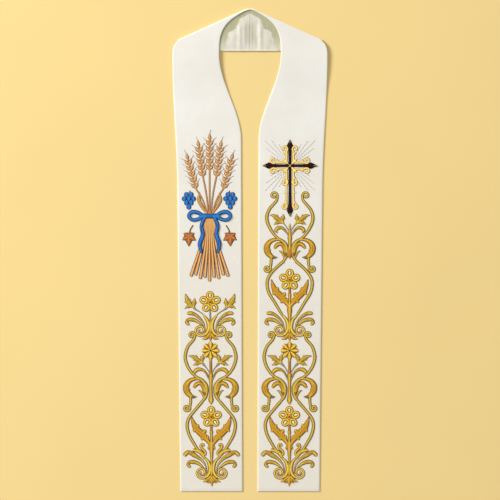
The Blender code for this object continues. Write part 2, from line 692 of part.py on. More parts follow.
def vine_leaf_paths():
    """A hanging vine leaf: pointed lobes round the end of its stem."""
    found = [stroke(VINE_STEM)]
    for lean, length, width in VINE_LOBES:
        lobe = ((0, LOBE_ROOT, width / 2), (0, length * LOBE_WIDEST, width), (0, length, LOBE_TIP))
        found.append(turned(stroke(lobe), 180 - lean, 0, 0))
    return placed_at(found, VINE_LEAF_AT)


def placed_at(paths, at, side=1):
    return [[Vector((at[0] + side * p.x, at[1] + p.y, p.z)) for p in path] for path in paths]


def corner_paths(lower):
    """Scrolls in one corner of the cross, for the upper or lower right."""
    upright = [stroke(*row) for row in CROSS_CORNER]
    level = [[Vector((p.y, p.x, p.z)) for p in path] for path in upright]
    found = upright + level + [stroke(*CROSS_DIAGONAL)]
    if lower:
        found = [[Vector((p.x, -p.y, p.z)) for p in path] for path in found]
        found += [stroke(*row) for row in CROSS_STEM_SIDE]
    return found


def cells(path, grow):
    """Convex pieces that cover a stroke: one for each step and a disc at each round end."""
    sides = []
    for i, p in enumerate(path):
        before, after = path[max(0, i - 1)], path[min(len(path) - 1, i + 1)]
        run = Vector((after.x - before.x, after.y - before.y)).normalized()
        half = p.z / 2 + grow
        out = Vector((-run.y, run.x)) * half
        sides.append((Vector((p.x, p.y)) + out, Vector((p.x, p.y)) - out))
    found = [(a, b, d, c) for (a, b), (c, d) in zip(sides, sides[1:])]
    for p in (path[0], path[-1]):
        if p.z >= CAP_WIDTH:
            found.append(disc(p.x, p.y, p.z / 2 + grow))
    return [hull(corners) for corners in found]


def disc(x, y, radius):
    turns = (2 * math.pi * (k + 0.5) / CAP_SIDES for k in range(CAP_SIDES))
    return [Vector((x + radius * math.cos(a), y + radius * math.sin(a))) for a in turns]


def hull(corners):
    """The convex outline of a few points, anticlockwise."""
    found = [corners[i] for i in convex_hull_2d(corners)]
    area = sum(a.x * b.y - b.x * a.y for a, b in zip(found, found[1:] + found[:1]))
    return found if area > 0 else found[::-1]


def triangulate(points, pairs):
    verts, _, triangles, _, _, _ = delaunay_2d_cdt(points, pairs, [], 0, MERGE)
    return verts, triangles


def middle(triangle, verts):
    return sum((verts[i] for i in triangle), Vector((0, 0))) / 3


def rim_edges(triangles):
    """Directed edges that only one triangle has."""
    directed = {(t[i], t[(i + 1) % 3]) for t in triangles for i in range(3)}
    return [(a, b) for a, b in directed if (b, a) not in directed]


def chains(edges):
    """Rim edges joined into runs that end where more than one run meets."""
    onward = {}
    for a, b in sorted(edges):
        onward.setdefault(a, []).append(b)
    found = []
    starts = [a for a in onward if len(onward[a]) > 1] + list(onward)
    for start in starts:
        while onward.get(start):
            run = [start, onward[start].pop()]
            while run[-1] != start and len(onward.get(run[-1], ())) == 1:
                run.append(onward[run[-1]].pop())
            found.append(run)
    return found


def off_line(p, a, b):
    """Distance of a point from the line through two others."""
    run = b - a
    if run.length < MERGE:
        return (p - a).length
    return abs(run.x * (p.y - a.y) - run.y * (p.x - a.x)) / run.length


def thin_out(run, verts):
    """Drops a run's points that lie close to the line between those that stay."""
    if len(run) < 3:
        return run
    gaps = [off_line(verts[i], verts[run[0]], verts[run[-1]]) for i in run[1:-1]]
    worst = max(gaps)
    if worst < OUTLINE_DRIFT:
        return [run[0], run[-1]]
    cut = gaps.index(worst) + 1
    return thin_out(run[: cut + 1], verts)[:-1] + thin_out(run[cut:], verts)


def is_inside(p, walls):
    """Whether a line from the point crosses an odd number of walls."""
    crossed = 0
    for a, b in walls:
        if (a.y > p.y) != (b.y > p.y) and p.x < a.x + (p.y - a.y) * (b.x - a.x) / (b.y - a.y):
            crossed += 1
    return crossed % 2 == 1


def is_covered(p, cells_by_square):
    """Whether a point lies in one of the convex cells filed under its square."""
    for corners in cells_by_square.get((int(p.x // SQUARE), int(p.y // SQUARE)), ()):
        if all((b - a).cross(p - a) >= 0 for a, b in zip(corners, corners[1:] + corners[:1])):
            return True
    return False


def by_square(found):
    """Cells filed under each square of the plan that they may reach."""
    filed = {}
    for corners in found:
        xs = [int(p.x // SQUARE) for p in corners]
        ys = [int(p.y // SQUARE) for p in corners]
        for x in range(min(xs), max(xs) + 1):
            for y in range(min(ys), max(ys) + 1):
                filed.setdefault((x, y), []).append(corners)
    return filed


def covered_outline(covers, cuts):
    """The thinned rim of all the covers less the cuts, as pairs of points."""
    points, pairs = [], []
    for corners in covers + cuts:
        first = len(points)
        pairs += [(first + i, first + (i + 1) % len(corners)) for i in range(len(corners))]
        points += corners
    verts, triangles = triangulate(points, pairs)
    inside, outside = by_square(covers), by_square(cuts)
    covered = []
    for t in triangles:
        centre = middle(t, verts)
        if is_covered(centre, inside) and not is_covered(centre, outside):
            covered.append(t)
    outline = []
    for run in chains(rim_edges(covered)):
        kept = thin_out(run, verts)
        outline += [(verts[a], verts[b]) for a, b in zip(kept, kept[1:]) if a != b]
    return outline


def filled(outline):
    """Triangles inside an outline, and the points where two parts of it only touch."""
    ends = [p for pair in outline for p in pair]
    pairs = [(i, i + 1) for i in range(0, len(ends), 2)]
    verts, triangles = triangulate(ends, pairs)
    triangles = [t for t in triangles if is_inside(middle(t, verts), outline)]
    starts = [a for a, _ in rim_edges(triangles)]
    return verts, triangles, [verts[i] for i in set(starts) if starts.count(i) > 1]


def plate(name, paths, z, material, keep_clear=()):
    """One closed plate under all the strokes, cut back from those that it must keep clear of."""
    covers = [cell for path in paths for cell in cells(path, 0)]
    cuts = [cell for path in keep_clear for cell in cells(path, SEAM_GAP / MM)]
    for _ in range(BRIDGE_ROUNDS):
        verts, triangles, touching = filled(covered_outline(covers, cuts))
        if not touching:
            break
        covers += [hull(disc(p.x, p.y, BRIDGE_RADIUS)) for p in touching]
    bm = bmesh.new()
    used = sorted({i for t in triangles for i in t})
    lower = {i: bm.verts.new((verts[i].x * MM, verts[i].y * MM, z)) for i in used}
    upper = {i: bm.verts.new((verts[i].x * MM, verts[i].y * MM, z + THREAD)) for i in used}
    for t in triangles:
        bm.faces.new([upper[i] for i in t])
        bm.faces.new([lower[i] for i in reversed(t)])
    for a, b in rim_edges(triangles):
        bm.faces.new((lower[a], lower[b], upper[b], upper[a]))
    return add_object(name, bm, material)


def finish(name, colour, roughness, metallic=0.0):
    """A Principled material of one colour."""
    material = bpy.data.materials.new(name)
    material.use_nodes = True
    shader = material.node_tree.nodes["Principled BSDF"]
    shader.inputs["Base Color"].default_value = (*colour, 1.0)
    shader.inputs["Roughness"].default_value = roughness
    shader.inputs["Metallic"].default_value = metallic
    return material


def make_cloth():
    ivory = finish("ivory_cloth", (0.855, 0.823, 0.738), 0.75)
    satin = finish("lining_satin", (0.63, 0.58, 0.45), 0.45)
    for side, hand in ((-1, "left"), (1, "right")):
        wall(f"band_{hand}", band_rows(), side, ivory)
        wall(f"neck_lining_{hand}", lining_rows(), side, satin)


def make_scrolls():
    gold = finish("gold_thread", (0.66, 0.43, 0.11), 0.42)
    for hand, panel in PANELS.items():
        plate(f"scrolls_{hand}", panel_paths(panel), STITCH_Z, gold)
    return gold


def make_cross(gold):
    dark = finish("dark_thread", (0.045, 0.01, 0.012), 0.4)
    arms = placed_at([stroke(points) for points in CROSS_ARMS], CROSS_AT)
    plate("cross", arms, STITCH_Z, dark)
    for height, lower in (("upper", False), ("lower", True)):
        for side, hand in ((-1, "left"), (1, "right")):
            paths = placed_at(corner_paths(lower), CROSS_AT, side)
            plate(f"cross_scroll_{height}_{hand}", paths, STITCH_Z, gold, keep_clear=arms)


def make_sheaf():
    tan = finish("tan_thread", (0.56, 0.37, 0.19), 0.5)
    blue = finish("blue_thread", (0.025, 0.13, 0.46), 0.45)
    brown = finish("brown_thread", (0.23, 0.09, 0.025), 0.5)
    plate("wheat_sheaf", placed_at(sheaf_paths(), SHEAF_AT), STITCH_Z, tan)
    plate("ribbon_tie", placed_at(ribbon_paths(), SHEAF_AT), RIBBON_Z, blue)
    for side, hand in ((-1, "left"), (1, "right")):
        plate(f"grapes_{hand}", placed_at(grape_paths(), SHEAF_AT, side), STITCH_Z, blue)
        plate(f"vine_leaf_{hand}", placed_at(vine_leaf_paths(), SHEAF_AT, side), STITCH_Z, brown)


def main():
    for obj in list(bpy.data.objects):
        bpy.data.objects.remove(obj)
    make_cloth()
    gold = make_scrolls()
    make_cross(gold)
    make_sheaf()


main()
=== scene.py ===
"""Looks of a clerical stole laid flat: cloth, neck lining and raised satin-stitch embroidery."""

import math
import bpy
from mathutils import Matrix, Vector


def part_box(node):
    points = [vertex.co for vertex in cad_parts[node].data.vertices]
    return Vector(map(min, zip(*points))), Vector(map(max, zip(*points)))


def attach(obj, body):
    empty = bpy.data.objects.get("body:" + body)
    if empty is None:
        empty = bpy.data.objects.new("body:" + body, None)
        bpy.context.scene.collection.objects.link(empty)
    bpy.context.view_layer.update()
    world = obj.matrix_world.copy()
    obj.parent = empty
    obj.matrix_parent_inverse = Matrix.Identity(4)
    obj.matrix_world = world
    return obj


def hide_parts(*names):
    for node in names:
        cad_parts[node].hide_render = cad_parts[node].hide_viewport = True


bl_info = {
    "name": "Clerical stole",
    "version": (1, 0, 0),
    "blender": (4, 5, 0),
    "location": "3D View > Sidebar > Stole",
    "description": "Dresses a flat-laid clerical stole in cloth, lining and satin stitch",
    "category": "Object",
}

from collections import namedtuple

import bmesh
import bpy
from mathutils import Vector, noise

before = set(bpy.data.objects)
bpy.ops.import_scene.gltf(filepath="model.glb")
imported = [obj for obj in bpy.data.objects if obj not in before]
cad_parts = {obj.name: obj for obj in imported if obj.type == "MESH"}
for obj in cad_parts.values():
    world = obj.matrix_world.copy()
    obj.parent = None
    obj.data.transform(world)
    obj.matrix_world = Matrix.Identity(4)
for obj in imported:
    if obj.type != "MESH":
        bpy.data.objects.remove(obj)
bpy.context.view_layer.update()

MM = 0.001
HANDS = {-1: "left", 1: "right"}

# Heights and outline, from the solids
BAND_LOW, BAND_HIGH = (Vector(corner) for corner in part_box("band_right"))
LINING_LOW = Vector(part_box("neck_lining_right")[0])
RIBBON_LOW = Vector(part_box("ribbon_tie")[0])
NECK_Y = BAND_HIGH.y
HEM_Y = BAND_LOW.y
SEAM_X = BAND_LOW.x
SHOULDER_OUTER = BAND_HIGH.x
FOLD_RADIUS = BAND_HIGH.z / 2

# Cut of the cloth
CLOTH = 1.6 * MM              # thickness
STEP_HEIGHT = BAND_HIGH.z - CLOTH        # underside of the front where it lies on the back
HEM_OUTER = 174.5 * MM
HEM_INNER = 19 * MM
CHEST_INNER = 22 * MM
SIDE_OUTER = 185 * MM
NECK_HALF = 77.5 * MM
BACK_EDGE_Y = NECK_Y - 110 * MM
FOLD_SLOPE = 0.453
FOLD_COS = 1 / math.hypot(1, FOLD_SLOPE)
FOLD_DROP = FOLD_RADIUS / FOLD_COS

# Where the outline changes, measured down from the neck point
SIDE_FLARE = (458 * MM, 130 * MM)
NECK_FLARE = (332 * MM, 118 * MM)
ARCH_DEPTH = 105 * MM
ARCH_SIDE = 45 * MM
ARCH_TOP = (50 * MM, 25.5 * MM)
POINT_WIDTH = 17 * MM         # the neck point is rounded over this width on each side
POINT_DROP = 3.4 * MM
POINT_DEPTH = 22 * MM
CORNER_DEPTH = 118 * MM
CORNER_CONTROL = 94 * MM
CORNER_X = 180 * MM
BACK_LEVEL_X = 95 * MM
STEP_DOWN = (112.5 * MM, 240 * MM)

# Cloth mesh
COLUMNS = 34
STRAIGHT_ROWS = 90
NECK_ROWS = 90
TURN_STEPS = 10
BACK_ROWS = 14
EDGE_STEPS = 80
CORNER_STEPS = 24
ARCH_STEPS = 60
ROLL_STEPS = 6                # round a turned edge
END_ANGLES = (8, 35, 62)      # rounding of the hem, in degrees
LINING_COLUMNS = 110
LINING_ROWS = 44
WELD = 1e-7
EDGE_CALM = 12 * MM           # the waves die out this near an edge
WAVES = (
    # across, down, seed, share: scale of the noise in both directions, and its part in the whole
    (9, 5, 2.0, 0.75),
    (22, 11, 7.0, 0.35),
)

# Neck lining: half of its soft upright folds, and where its lighter part ends: the rim beyond it is
# painted darker as shade cast by the front
LINING_FOLDS = (
    # centre_mm, width_mm, height_mm
    (3.5, 4.0, 0.5),
    (13.0, 5.0, 0.6),
    (26.0, 6.5, 1.5),
    (42.0, 9.0, 0.7),
    (57.0, 7.0, 0.5),
)
LINING = 1.0 * MM             # thickness
TURNED_EDGE = 0.8 * MM
LINING_INSET = 16 * MM
LINING_CROWDING = 1.2
FOLD_WINDOW = (66 * MM, 82 * MM)
FOLD_FADE = 2.2
FOLD_AT_EDGE = (0.35, 30 * MM)
PAINTED_SHADE_BORDER = (
    # above_edge_mm, half_width_mm
    (0, 68),
    (18, 60),
    (46, 55),
    (52, 46),
    (56, 34),
    (74, 29),
    (83, 22),
    (90, 9),
    (94, 0),
)
# The rim's painted shade fades in over this width, in millimetres
PAINTED_SHADE_BORDER_FADE = 14.0

# Threads. Colours are sRGB, 0 to 255. Lifts are in millimetres: a higher thread covers a lower one.
Thread = namedtuple("Thread", "body edge middle lift outline")
THREADS = {
    # name: body, edge, middle (painted highlight down the stroke's crest), lift, outline_mm
    "volute": Thread((188, 148, 22), (136, 93, 13), (247, 216, 87), 0.16, 2.0),
    "plume": Thread((178, 142, 22), (132, 93, 16), (237, 200, 75), 0.18, 1.9),
    "plume_root": Thread((154, 136, 84), (104, 88, 50), (196, 180, 122), 0.18, 1.4),
    "column": Thread((178, 140, 22), (128, 86, 14), (235, 192, 71), 0.26, 1.9),
    "palmette": Thread((198, 148, 18), (134, 84, 9), (249, 204, 58), 0.24, 1.9),
    "leaf": Thread((186, 150, 24), (128, 93, 16), (237, 202, 71), 0.20, 1.7),
    "leaf_tooth": Thread((184, 148, 24), (128, 93, 16), (226, 187, 60), 0.04, 1.2),
    "broad_leaf": Thread((192, 140, 13), (134, 82, 7), (231, 177, 40), 0.22, 2.0),
    "tooth": Thread((190, 138, 13), (134, 82, 7), (226, 171, 35), 0.04, 1.8),
    "tendril": Thread((140, 124, 92), (108, 92, 64), (180, 166, 126), 0.10, 1.2),
    "stem": Thread((167, 136, 29), (123, 89, 18), (224, 192, 81), 0.12, 1.9),
    "bud": Thread((186, 142, 27), (134, 89, 16), (237, 198, 77), 0.20, 1.6),
    "acanthus": Thread((184, 136, 13), (130, 82, 7), (231, 181, 44), 0.18, 2.1),
    "lobe": Thread((180, 136, 18), (130, 84, 11), (224, 179, 52), 0.12, 1.6),
    "petal": Thread((202, 156, 22), (138, 91, 11), (249, 210, 75), 0.28, 1.9),
    "rosette": Thread((200, 154, 21), (136, 86, 9), (251, 212, 81), 0.28, 1.9),
    "drop": Thread((255, 246, 206), (236, 206, 116), (255, 252, 232), 0.05, 1.2),
    "eye": Thread((188, 136, 18), (115, 73, 10), (219, 166, 39), 0.24, 1.6),
    "dark_dot": Thread((96, 58, 16), (80, 46, 12), (110, 70, 24), 1.1, 0.3),
    "vein": Thread((176, 96, 18), (150, 80, 14), (192, 116, 26), 0.0, 0.3),
    "dark_vein": Thread((142, 94, 24), (124, 78, 18), (156, 106, 32), 0.0, 0.3),
    "tip": Thread((124, 94, 36), (98, 72, 24), (144, 114, 52), 0.0, 0.5),
    "calyx": Thread((192, 118, 26), (150, 84, 16), (210, 142, 40), 0.0, 0.6),
    "cross_dark": Thread((30, 3, 5), (14, 2, 3), (44, 6, 8), 0.45, 1.2),
    "cross_tip": Thread((118, 98, 40), (84, 64, 24), (144, 122, 58), 0.95, 0.8),
    "cross_spark": Thread((232, 190, 78), (190, 140, 44), (252, 224, 124), 0.95, 0.3),
    "filigree": Thread((246, 206, 86), (188, 132, 34), (255, 238, 146), 0.10, 1.6),
    "ray": Thread((176, 172, 164), (154, 150, 142), (190, 186, 178), 0.02, 0.3),
    "grain": Thread((222, 158, 84), (112, 58, 20), (244, 194, 124), 0.30, 1.6),
    "ear_stalk": Thread((196, 130, 60), (110, 60, 22), (216, 160, 92), 0.22, 1.2),
    "stalk": Thread((216, 152, 80), (108, 56, 18), (240, 186, 116), 0.16, 1.7),
    "awn": Thread((160, 104, 50), (126, 78, 34), (180, 126, 70), 0.10, 0.4),
    "blade": Thread((206, 152, 70), (104, 58, 20), (230, 182, 98), 0.12, 1.5),
    "ribbon": Thread((12, 96, 174), (6, 34, 84), (44, 132, 204), 0.10, 1.8),
    "ribbon_fold": Thread((14, 66, 136), (10, 46, 100), (22, 84, 160), 0.85, 0.5),
    "grape": Thread((14, 90, 166), (6, 32, 80), (48, 128, 198), 0.20, 1.7),
    "shine": Thread((206, 222, 232), (150, 182, 212), (226, 236, 240), 0.95, 0.5),
    "vine": Thread((164, 84, 30), (76, 34, 10), (196, 116, 50), 0.20, 1.6),
    "vine_vein": Thread((214, 160, 78), (186, 130, 56), (226, 178, 100), 0.0, 0.3),
    "vine_stem": Thread((120, 84, 40), (84, 54, 24), (150, 110, 60), 0.14, 0.8),
}
# Narrower strokes laid over a stroke, from its narrow end to its broad one
OVERLAYS = {
    # name: rows of (thread, share_of_width, start, end)
    "leaf": (("vein", 0.2, 0.2, 0.84), ("tip", 1.0, 0.0, 0.13)),
    "broad_leaf": (("vein", 0.16, 0.08, 0.8), ("tip", 0.8, 0.0, 0.07)),
    "acanthus": (("dark_vein", 0.16, 0.3, 0.62), ("tip", 1.0, 0.0, 0.2)),
    "lobe": (("tip", 0.8, 0.0, 0.22),),
    "plume": (
        ("dark_vein", 0.16, 0.34, 0.6), ("calyx", 0.34, 0.6, 0.86), ("calyx", 0.7, 0.0, 0.12),
    ),
    "volute": (("calyx", 0.36, 0.78, 0.97),),
    "palmette": (("vein", 0.2, 0.2, 0.85),),
    "column": (("calyx", 0.6, 0.8, 0.97),),
    "blade": (("vine_stem", 0.14, 0.1, 0.9),),
    "vine": (("vine_vein", 0.1, 0.12, 0.86),),
    "grain": (("vein", 0.12, 0.25, 0.9),),
}
# Small points along both sides of a leaf: their thread, where they stand from its narrow end, and
# how far they reach beyond its edge and lean to its tip, in millimetres
TEETH = {
    "leaf": ("leaf_tooth", (0.5,), 1.7, 3.4),
}
TOOTH_WIDTHS = (4.6, 3.4, 1.0)
RINGS = {"petal"}             # threads whose strokes close to a ring
# Where a stroke narrows, its thread takes the colours of the row NAME_root, if there is one: wholly
# under the first width, not at all over the second
ROOT_WIDTHS = (4.4, 7.0)

# Motifs, in millimetres from their own centre line and origin. A point is (x, y, width). A curl
# carries a stroke on round a centre: (x, y, turn in degrees, end radius, end width).
PAIR, SINGLE = True, False
MOTIFS = {
    # name: rows of (thread, sides, points, and a curl where there is one)
    "fountain": (
        ("volute", PAIR, (
            (15.5, 36.5, 5.4), (8, 26.5, 9.2), (4.3, 14, 10.9), (4.6, 3, 10.5), (10, -7.3, 9.7),
            (17, -12.3, 6.6),
        ), (25, 0, 522, 3, 5.5)),
        ("plume", PAIR, (
            (55.6, 15.8, 7.6), (59.4, 20.5, 8.3), (55, 26.8, 8.9), (46, 27.2, 10.8),
            (36, 24.6, 9.4), (26, 17.5, 6.3), (18.6, 9.5, 3.6),
        )),
        ("column", SINGLE, ((0, 28, 2), (0, 16, 7.8), (0, 0, 7.8), (0, -12, 7))),
    ),
    "club_plumes": (
        ("plume", PAIR, (
            (53.6, 43, 9.4), (46, 42.6, 10.3), (38, 39.5, 8.9), (27, 31, 7), (18.5, 20, 5.8),
            (14.8, 8, 4), (14, -3, 4),
        )),
    ),
    "curled_plumes": (
        ("plume", PAIR, (
            (66, 46, 10.8), (60.5, 51.5, 9.4), (52, 49.5, 11.4), (43, 44, 12.1), (33, 38, 8.9),
            (22, 28.5, 6.3), (14.8, 16, 4), (12.8, 0, 4),
        )),
    ),
    "small_foot": (
        ("palmette", PAIR, ((2, -6, 4), (6, -14, 9.2), (12, -19.5, 9.2), (19, -21.5, 3.5))),
        ("palmette", SINGLE, ((0, -8, 5), (0, -19, 8), (0, -28, 1.5))),
    ),
    "large_foot": (
        ("palmette", PAIR, ((2, -8, 5), (8, -15, 9.2), (14, -20, 8), (21, -22.3, 3))),
        ("palmette", PAIR, ((3, -16, 5), (7, -23, 5), (12, -25.5, 2.5))),
        ("palmette", SINGLE, ((0, -10, 6.9), (0, -22, 10.3), (0, -34.5, 1.5))),
    ),
    "blossom_branches": (
        ("leaf", PAIR, (
            (61.8, 92, 1.2), (59.3, 83, 9.4), (55.5, 73, 13.4), (49.5, 64.5, 10.4), (43, 58.5, 5),
        )),
        ("leaf", PAIR, ((38.7, 81, 1.2), (39.5, 73, 9.2), (41, 66, 10.4), (42, 58, 5))),
        ("leaf", PAIR, ((64, 54.3, 1.2), (56.5, 60, 7.7), (49.5, 61.3, 9), (41.5, 58, 4))),
        ("tendril", PAIR, (
            (43.5, 60, 4.5), (39.5, 55.5, 6.5), (35, 51.5, 4), (25.5, 46, 2.8), (12, 35, 2.8),
        )),
        ("tendril", SINGLE, ((0, 52, 4.4), (0, 24, 4.4))),
    ),
    "ogee_top": (
        ("stem", PAIR, (
            (48, -106.2, 7.7), (57.3, -91.2, 8.3), (63.1, -73.8, 8.3), (63.1, -59.9, 8.3),
            (56.7, -40.2, 8), (43.4, -24.5, 7.7), (38.8, -15, 7),
        ), (46.4, -12, -400, 2.8, 6.6)),
        ("stem", PAIR, (
            (48, -106.2, 7.7), (36.4, -116.6, 7.2), (21.4, -125.9, 9.6), (12.6, -139, 12.4),
            (11.2, -152.5, 12.4), (14.5, -167.5, 9.6), (23.7, -180.2, 6),
        )),
    ),
    "ogee_sprig": (
        ("leaf", PAIR, (
            (55.5, -64, 1.2), (47, -65, 7), (38, -69.5, 12.2), (29.5, -75.5, 8.3), (21, -82, 4),
        )),
        ("leaf", PAIR, ((20.2, -59.5, 1.2), (19.5, -66, 8.3), (22, -73, 9.6), (21, -82, 4))),
        ("leaf", PAIR, ((43.8, -87.4, 1.2), (37, -84, 7.7), (30, -81.5, 8.3), (21, -82, 4))),
        ("tendril", PAIR, (
            (24, -80, 4), (18.5, -85, 6.5), (14.5, -89.5, 4), (10, -95, 2.8), (2, -108, 2.8),
        )),
        ("plume", PAIR, (
            (41.5, -111.5, 2.2), (40.5, -104.5, 9.4), (34.5, -98.8, 10.8), (25.5, -97.8, 8.9),
            (17.5, -100.8, 6.8), (11, -108, 5.3), (7, -118, 3.6), (2, -128, 3),
        )),
        ("column", SINGLE, (
            (0, -64, 6.9), (0, -98, 6.6), (0, -112, 12), (0, -122, 10.6), (0, -135, 8),
            (0, -150, 7), (0, -163, 9.4), (0, -174, 14.8), (0, -180, 10.1), (0, -186.5, 1.2),
        )),
    ),
    "acanthus": (
        ("acanthus", PAIR, (
            (27, -122.5, 4), (42, -122.2, 9), (54.5, -127.8, 12.4), (61.5, -139, 15.9),
            (60.8, -151.5, 16.6), (54, -161.5, 13.8), (45.5, -166.5, 9), (35.5, -166.4, 1.2),
        )),
        ("lobe", PAIR, ((58, -144, 6), (54.5, -147, 5), (51.2, -148.5, 1.2))),
        ("stem", PAIR, (
            (54, -160, 7), (51, -172, 7.4), (52, -184.5, 7.4), (53.2, -191.2, 6.6),
        ), (61, -195.2, 430, 2.8, 7.2)),
        ("acanthus", PAIR, (
            (41.5, -141.5, 7.6), (37.5, -136.5, 11), (31, -132.6, 10.3), (23, -135.5, 9.7),
            (17.5, -145, 11), (15, -156, 9.7), (15, -166, 5),
        )),
        ("lobe", PAIR, ((31.8, -150.2, 1.2), (26.5, -152.5, 5), (21, -159, 6.5), (17, -170, 5))),
    ),
    "ogee_foot": (
        ("stem", PAIR, (
            (23.7, -180.2, 8.3), (41.2, -201, 7.7), (55.7, -219.8, 8.3), (60.6, -238.6, 8.3),
            (55.7, -261.8, 8.3), (44.1, -283.5, 7.7), (31.1, -303.7, 7.4), (19, -318, 7),
            (12, -326, 5),
        )),
        ("bud", PAIR, (
            (40, -301, 4.5), (33, -302.5, 9.5), (26, -307, 11.5), (20.5, -312.5, 9),
            (17.5, -318, 3),
        )),
        ("bud", PAIR, (
            (21, -313.5, 5.9), (15.6, -310.5, 6.4), (17, -303.5, 7.3), (23.5, -297, 7.3),
            (27, -291, 6.8), (24.8, -286.2, 6.4), (20, -286.8, 5.9), (20, -290.3, 4.2),
        )),
        ("bud", PAIR, ((42.7, -300.8, 10.1), (37.5, -302, 8.7), (30, -307, 5.9))),
    ),
    "flower_sprig": (
        ("broad_leaf", PAIR, (
            (48.9, -218, 1.2), (45.8, -231, 9.8), (38.5, -247, 16.5), (27, -259.5, 18),
            (17.5, -269, 16.5), (9.5, -279, 11.5), (2, -291, 7),
        )),
        ("tooth", PAIR, ((38, -246, 15), (33.6, -240.8, 10), (31.6, -237.6, 1.2))),
        ("tooth", PAIR, ((22, -261, 16), (15.8, -254.4, 10), (13.4, -251.2, 1.2))),
        ("tooth", PAIR, ((38, -248, 15), (42.8, -254.2, 10), (45, -258, 1.2))),
        ("tooth", PAIR, ((18, -268, 16), (23.2, -274.6, 10), (25.4, -278.4, 1.2))),
        ("tooth", PAIR, ((13, -274, 12), (8.8, -269.4, 8), (7, -266, 1.2))),
        ("tooth", PAIR, ((3, -288, 6), (7, -297, 6), (8.5, -302.5, 1.2))),
        ("column", SINGLE, (
            (0, -236, 6.2), (0, -251, 6.2), (0, -257.5, 9.4), (0, -264, 6.4), (0, -280, 7.8),
            (0, -292, 13.6), (0, -301, 11.6), (0, -309, 9.4), (0, -334, 5.5),
        )),
    ),
    "lyre": (
        ("stem", PAIR, (
            (47.1, -99.5, 8.3), (55.8, -81, 8.9), (57.6, -64.8, 8.9), (52.5, -48.6, 8.3),
            (42, -35.5, 7.7), (33.5, -25, 7.2), (31.2, -15.5, 6.4),
        ), (40.1, -12.7, -340, 3.2, 6.8)),
        ("stem", PAIR, (
            (47.1, -99.5, 8.3), (36.7, -113.4, 7.4), (28, -121, 7), (16, -128.8, 9.6),
            (9.5, -139, 11.8), (7.5, -152, 11), (9.5, -165.5, 9.6), (16.5, -178.4, 6),
        )),
        ("leaf", PAIR, (
            (50, -61.9, 1.2), (42, -62.8, 7.7), (34, -67.5, 11.5), (25, -74.5, 8.3), (14, -84, 4),
        )),
        ("leaf", PAIR, ((17, -59, 1.2), (16.6, -66, 8.3), (19, -73, 9), (17, -82, 4))),
        ("leaf", PAIR, ((39.8, -85.5, 1.2), (34, -81, 7.7), (27.5, -79.5, 8.3), (17, -82, 4))),
        ("tendril", PAIR, ((15.5, -82, 3), (7.5, -93, 2.8), (0, -106, 2.8))),
        ("plume", PAIR, (
            (31.5, -106.8, 2.2), (35, -100.5, 8.9), (31, -95, 10.1), (23, -93, 8.9),
            (15.5, -96.5, 6.8), (9.5, -103.5, 5.5), (3, -113, 4),
        )),
        ("column", SINGLE, (
            (0, -82.5, 1.2), (0, -90, 5.4), (0, -97, 5), (0, -108, 8.2), (0, -118, 11.8),
            (0, -127, 9.4), (0, -140, 8.2), (0, -160, 15.5), (0, -172, 1.5),
        )),
    ),
    "lyre_foot": (
        ("stem", PAIR, (
            (16.5, -178.4, 8.3), (37, -196.6, 7.7), (51.7, -214.8, 8.3), (56.7, -232.9, 8.3),
            (52.1, -256.5, 8.3), (38, -280.1, 7.7), (23.5, -304.5, 7.2), (12, -322, 5),
        )),
    ),
}

# Which motifs stand where on each panel
FOUNTAIN_Y = -203.4
REPEAT = 351.0
UPPER_DROP = 7.0              # the upper flower stands this much lower in its frame
SPRIG_LIFT = 2.4
ACANTHUS_DROP = 1.2           # the upper acanthus stands this much lower in its frame
ACANTHUS_INWARD = 4.5         # and this much nearer to the centre line
SPRIG_INWARD = 3
BASE_DROP = 357.3
FLOWER_Y = -217.2
BLOSSOM_Y = 70.8
ROSETTE_Y = -50.7
PANEL_TOP_Y = 285.0
COMMON_MOTIFS = (
    # motif, origin_y, inward
    ("fountain", FOUNTAIN_Y, 0),
    ("club_plumes", FOUNTAIN_Y, 0),
    ("small_foot", FOUNTAIN_Y, 0),
    ("ogee_top", FOUNTAIN_Y, 0),
    ("ogee_sprig", FOUNTAIN_Y, 0),
    ("acanthus", FOUNTAIN_Y, 0),
    ("ogee_foot", FOUNTAIN_Y, 0),
    ("flower_sprig", FOUNTAIN_Y + SPRIG_LIFT, 0),
    ("fountain", FOUNTAIN_Y - BASE_DROP, 0),
    ("curled_plumes", FOUNTAIN_Y - BASE_DROP, 0),
    ("large_foot", FOUNTAIN_Y - BASE_DROP, 0),
)
PANELS = {
    "left": {
        # x of the design's centre line, at the panel's top and at the hem
        "axis": (-104.2, -95.8),
        "motifs": COMMON_MOTIFS + (("blossom_branches", FOUNTAIN_Y, 0),),
        "flowers": (FOUNTAIN_Y + BLOSSOM_Y, FOUNTAIN_Y + FLOWER_Y),
    },
    "right": {
        "axis": (100.3, 98.2),
        "motifs": COMMON_MOTIFS
        + (
            # motif, origin_y, inward
            ("lyre", FOUNTAIN_Y + REPEAT, 0),
            ("lyre_foot", FOUNTAIN_Y + REPEAT, 0),
            ("acanthus", FOUNTAIN_Y + REPEAT - ACANTHUS_DROP, ACANTHUS_INWARD),
            ("flower_sprig", FOUNTAIN_Y + REPEAT + SPRIG_LIFT - UPPER_DROP, SPRIG_INWARD),
        ),
        "flowers": (FOUNTAIN_Y + REPEAT + FLOWER_Y - UPPER_DROP, FOUNTAIN_Y + FLOWER_Y),
    },
}

# Flowers
PETALS = 5
PETAL_CENTRE = 16.4
PETAL_HALF = (7.9, 6.9)
PETAL_STROKE = 7.2
PETAL_SIDES = 28
PETAL_DROP = ((0, 12.2, 2.2), (0, 15.5, 4.6), (0, 18.0, 6.0), (0, 19.4, 5.0))
FLOWER_EYE = 16.0
FLOWER_DOT = 5.0
ROSETTE_PETALS = 8
ROSETTE_PETAL = ((0, 2, 3.0), (0, 7, 6.2), (0, 12, 10.8), (0, 15.6, 13.0))
ROSETTE_DOT = 5.5

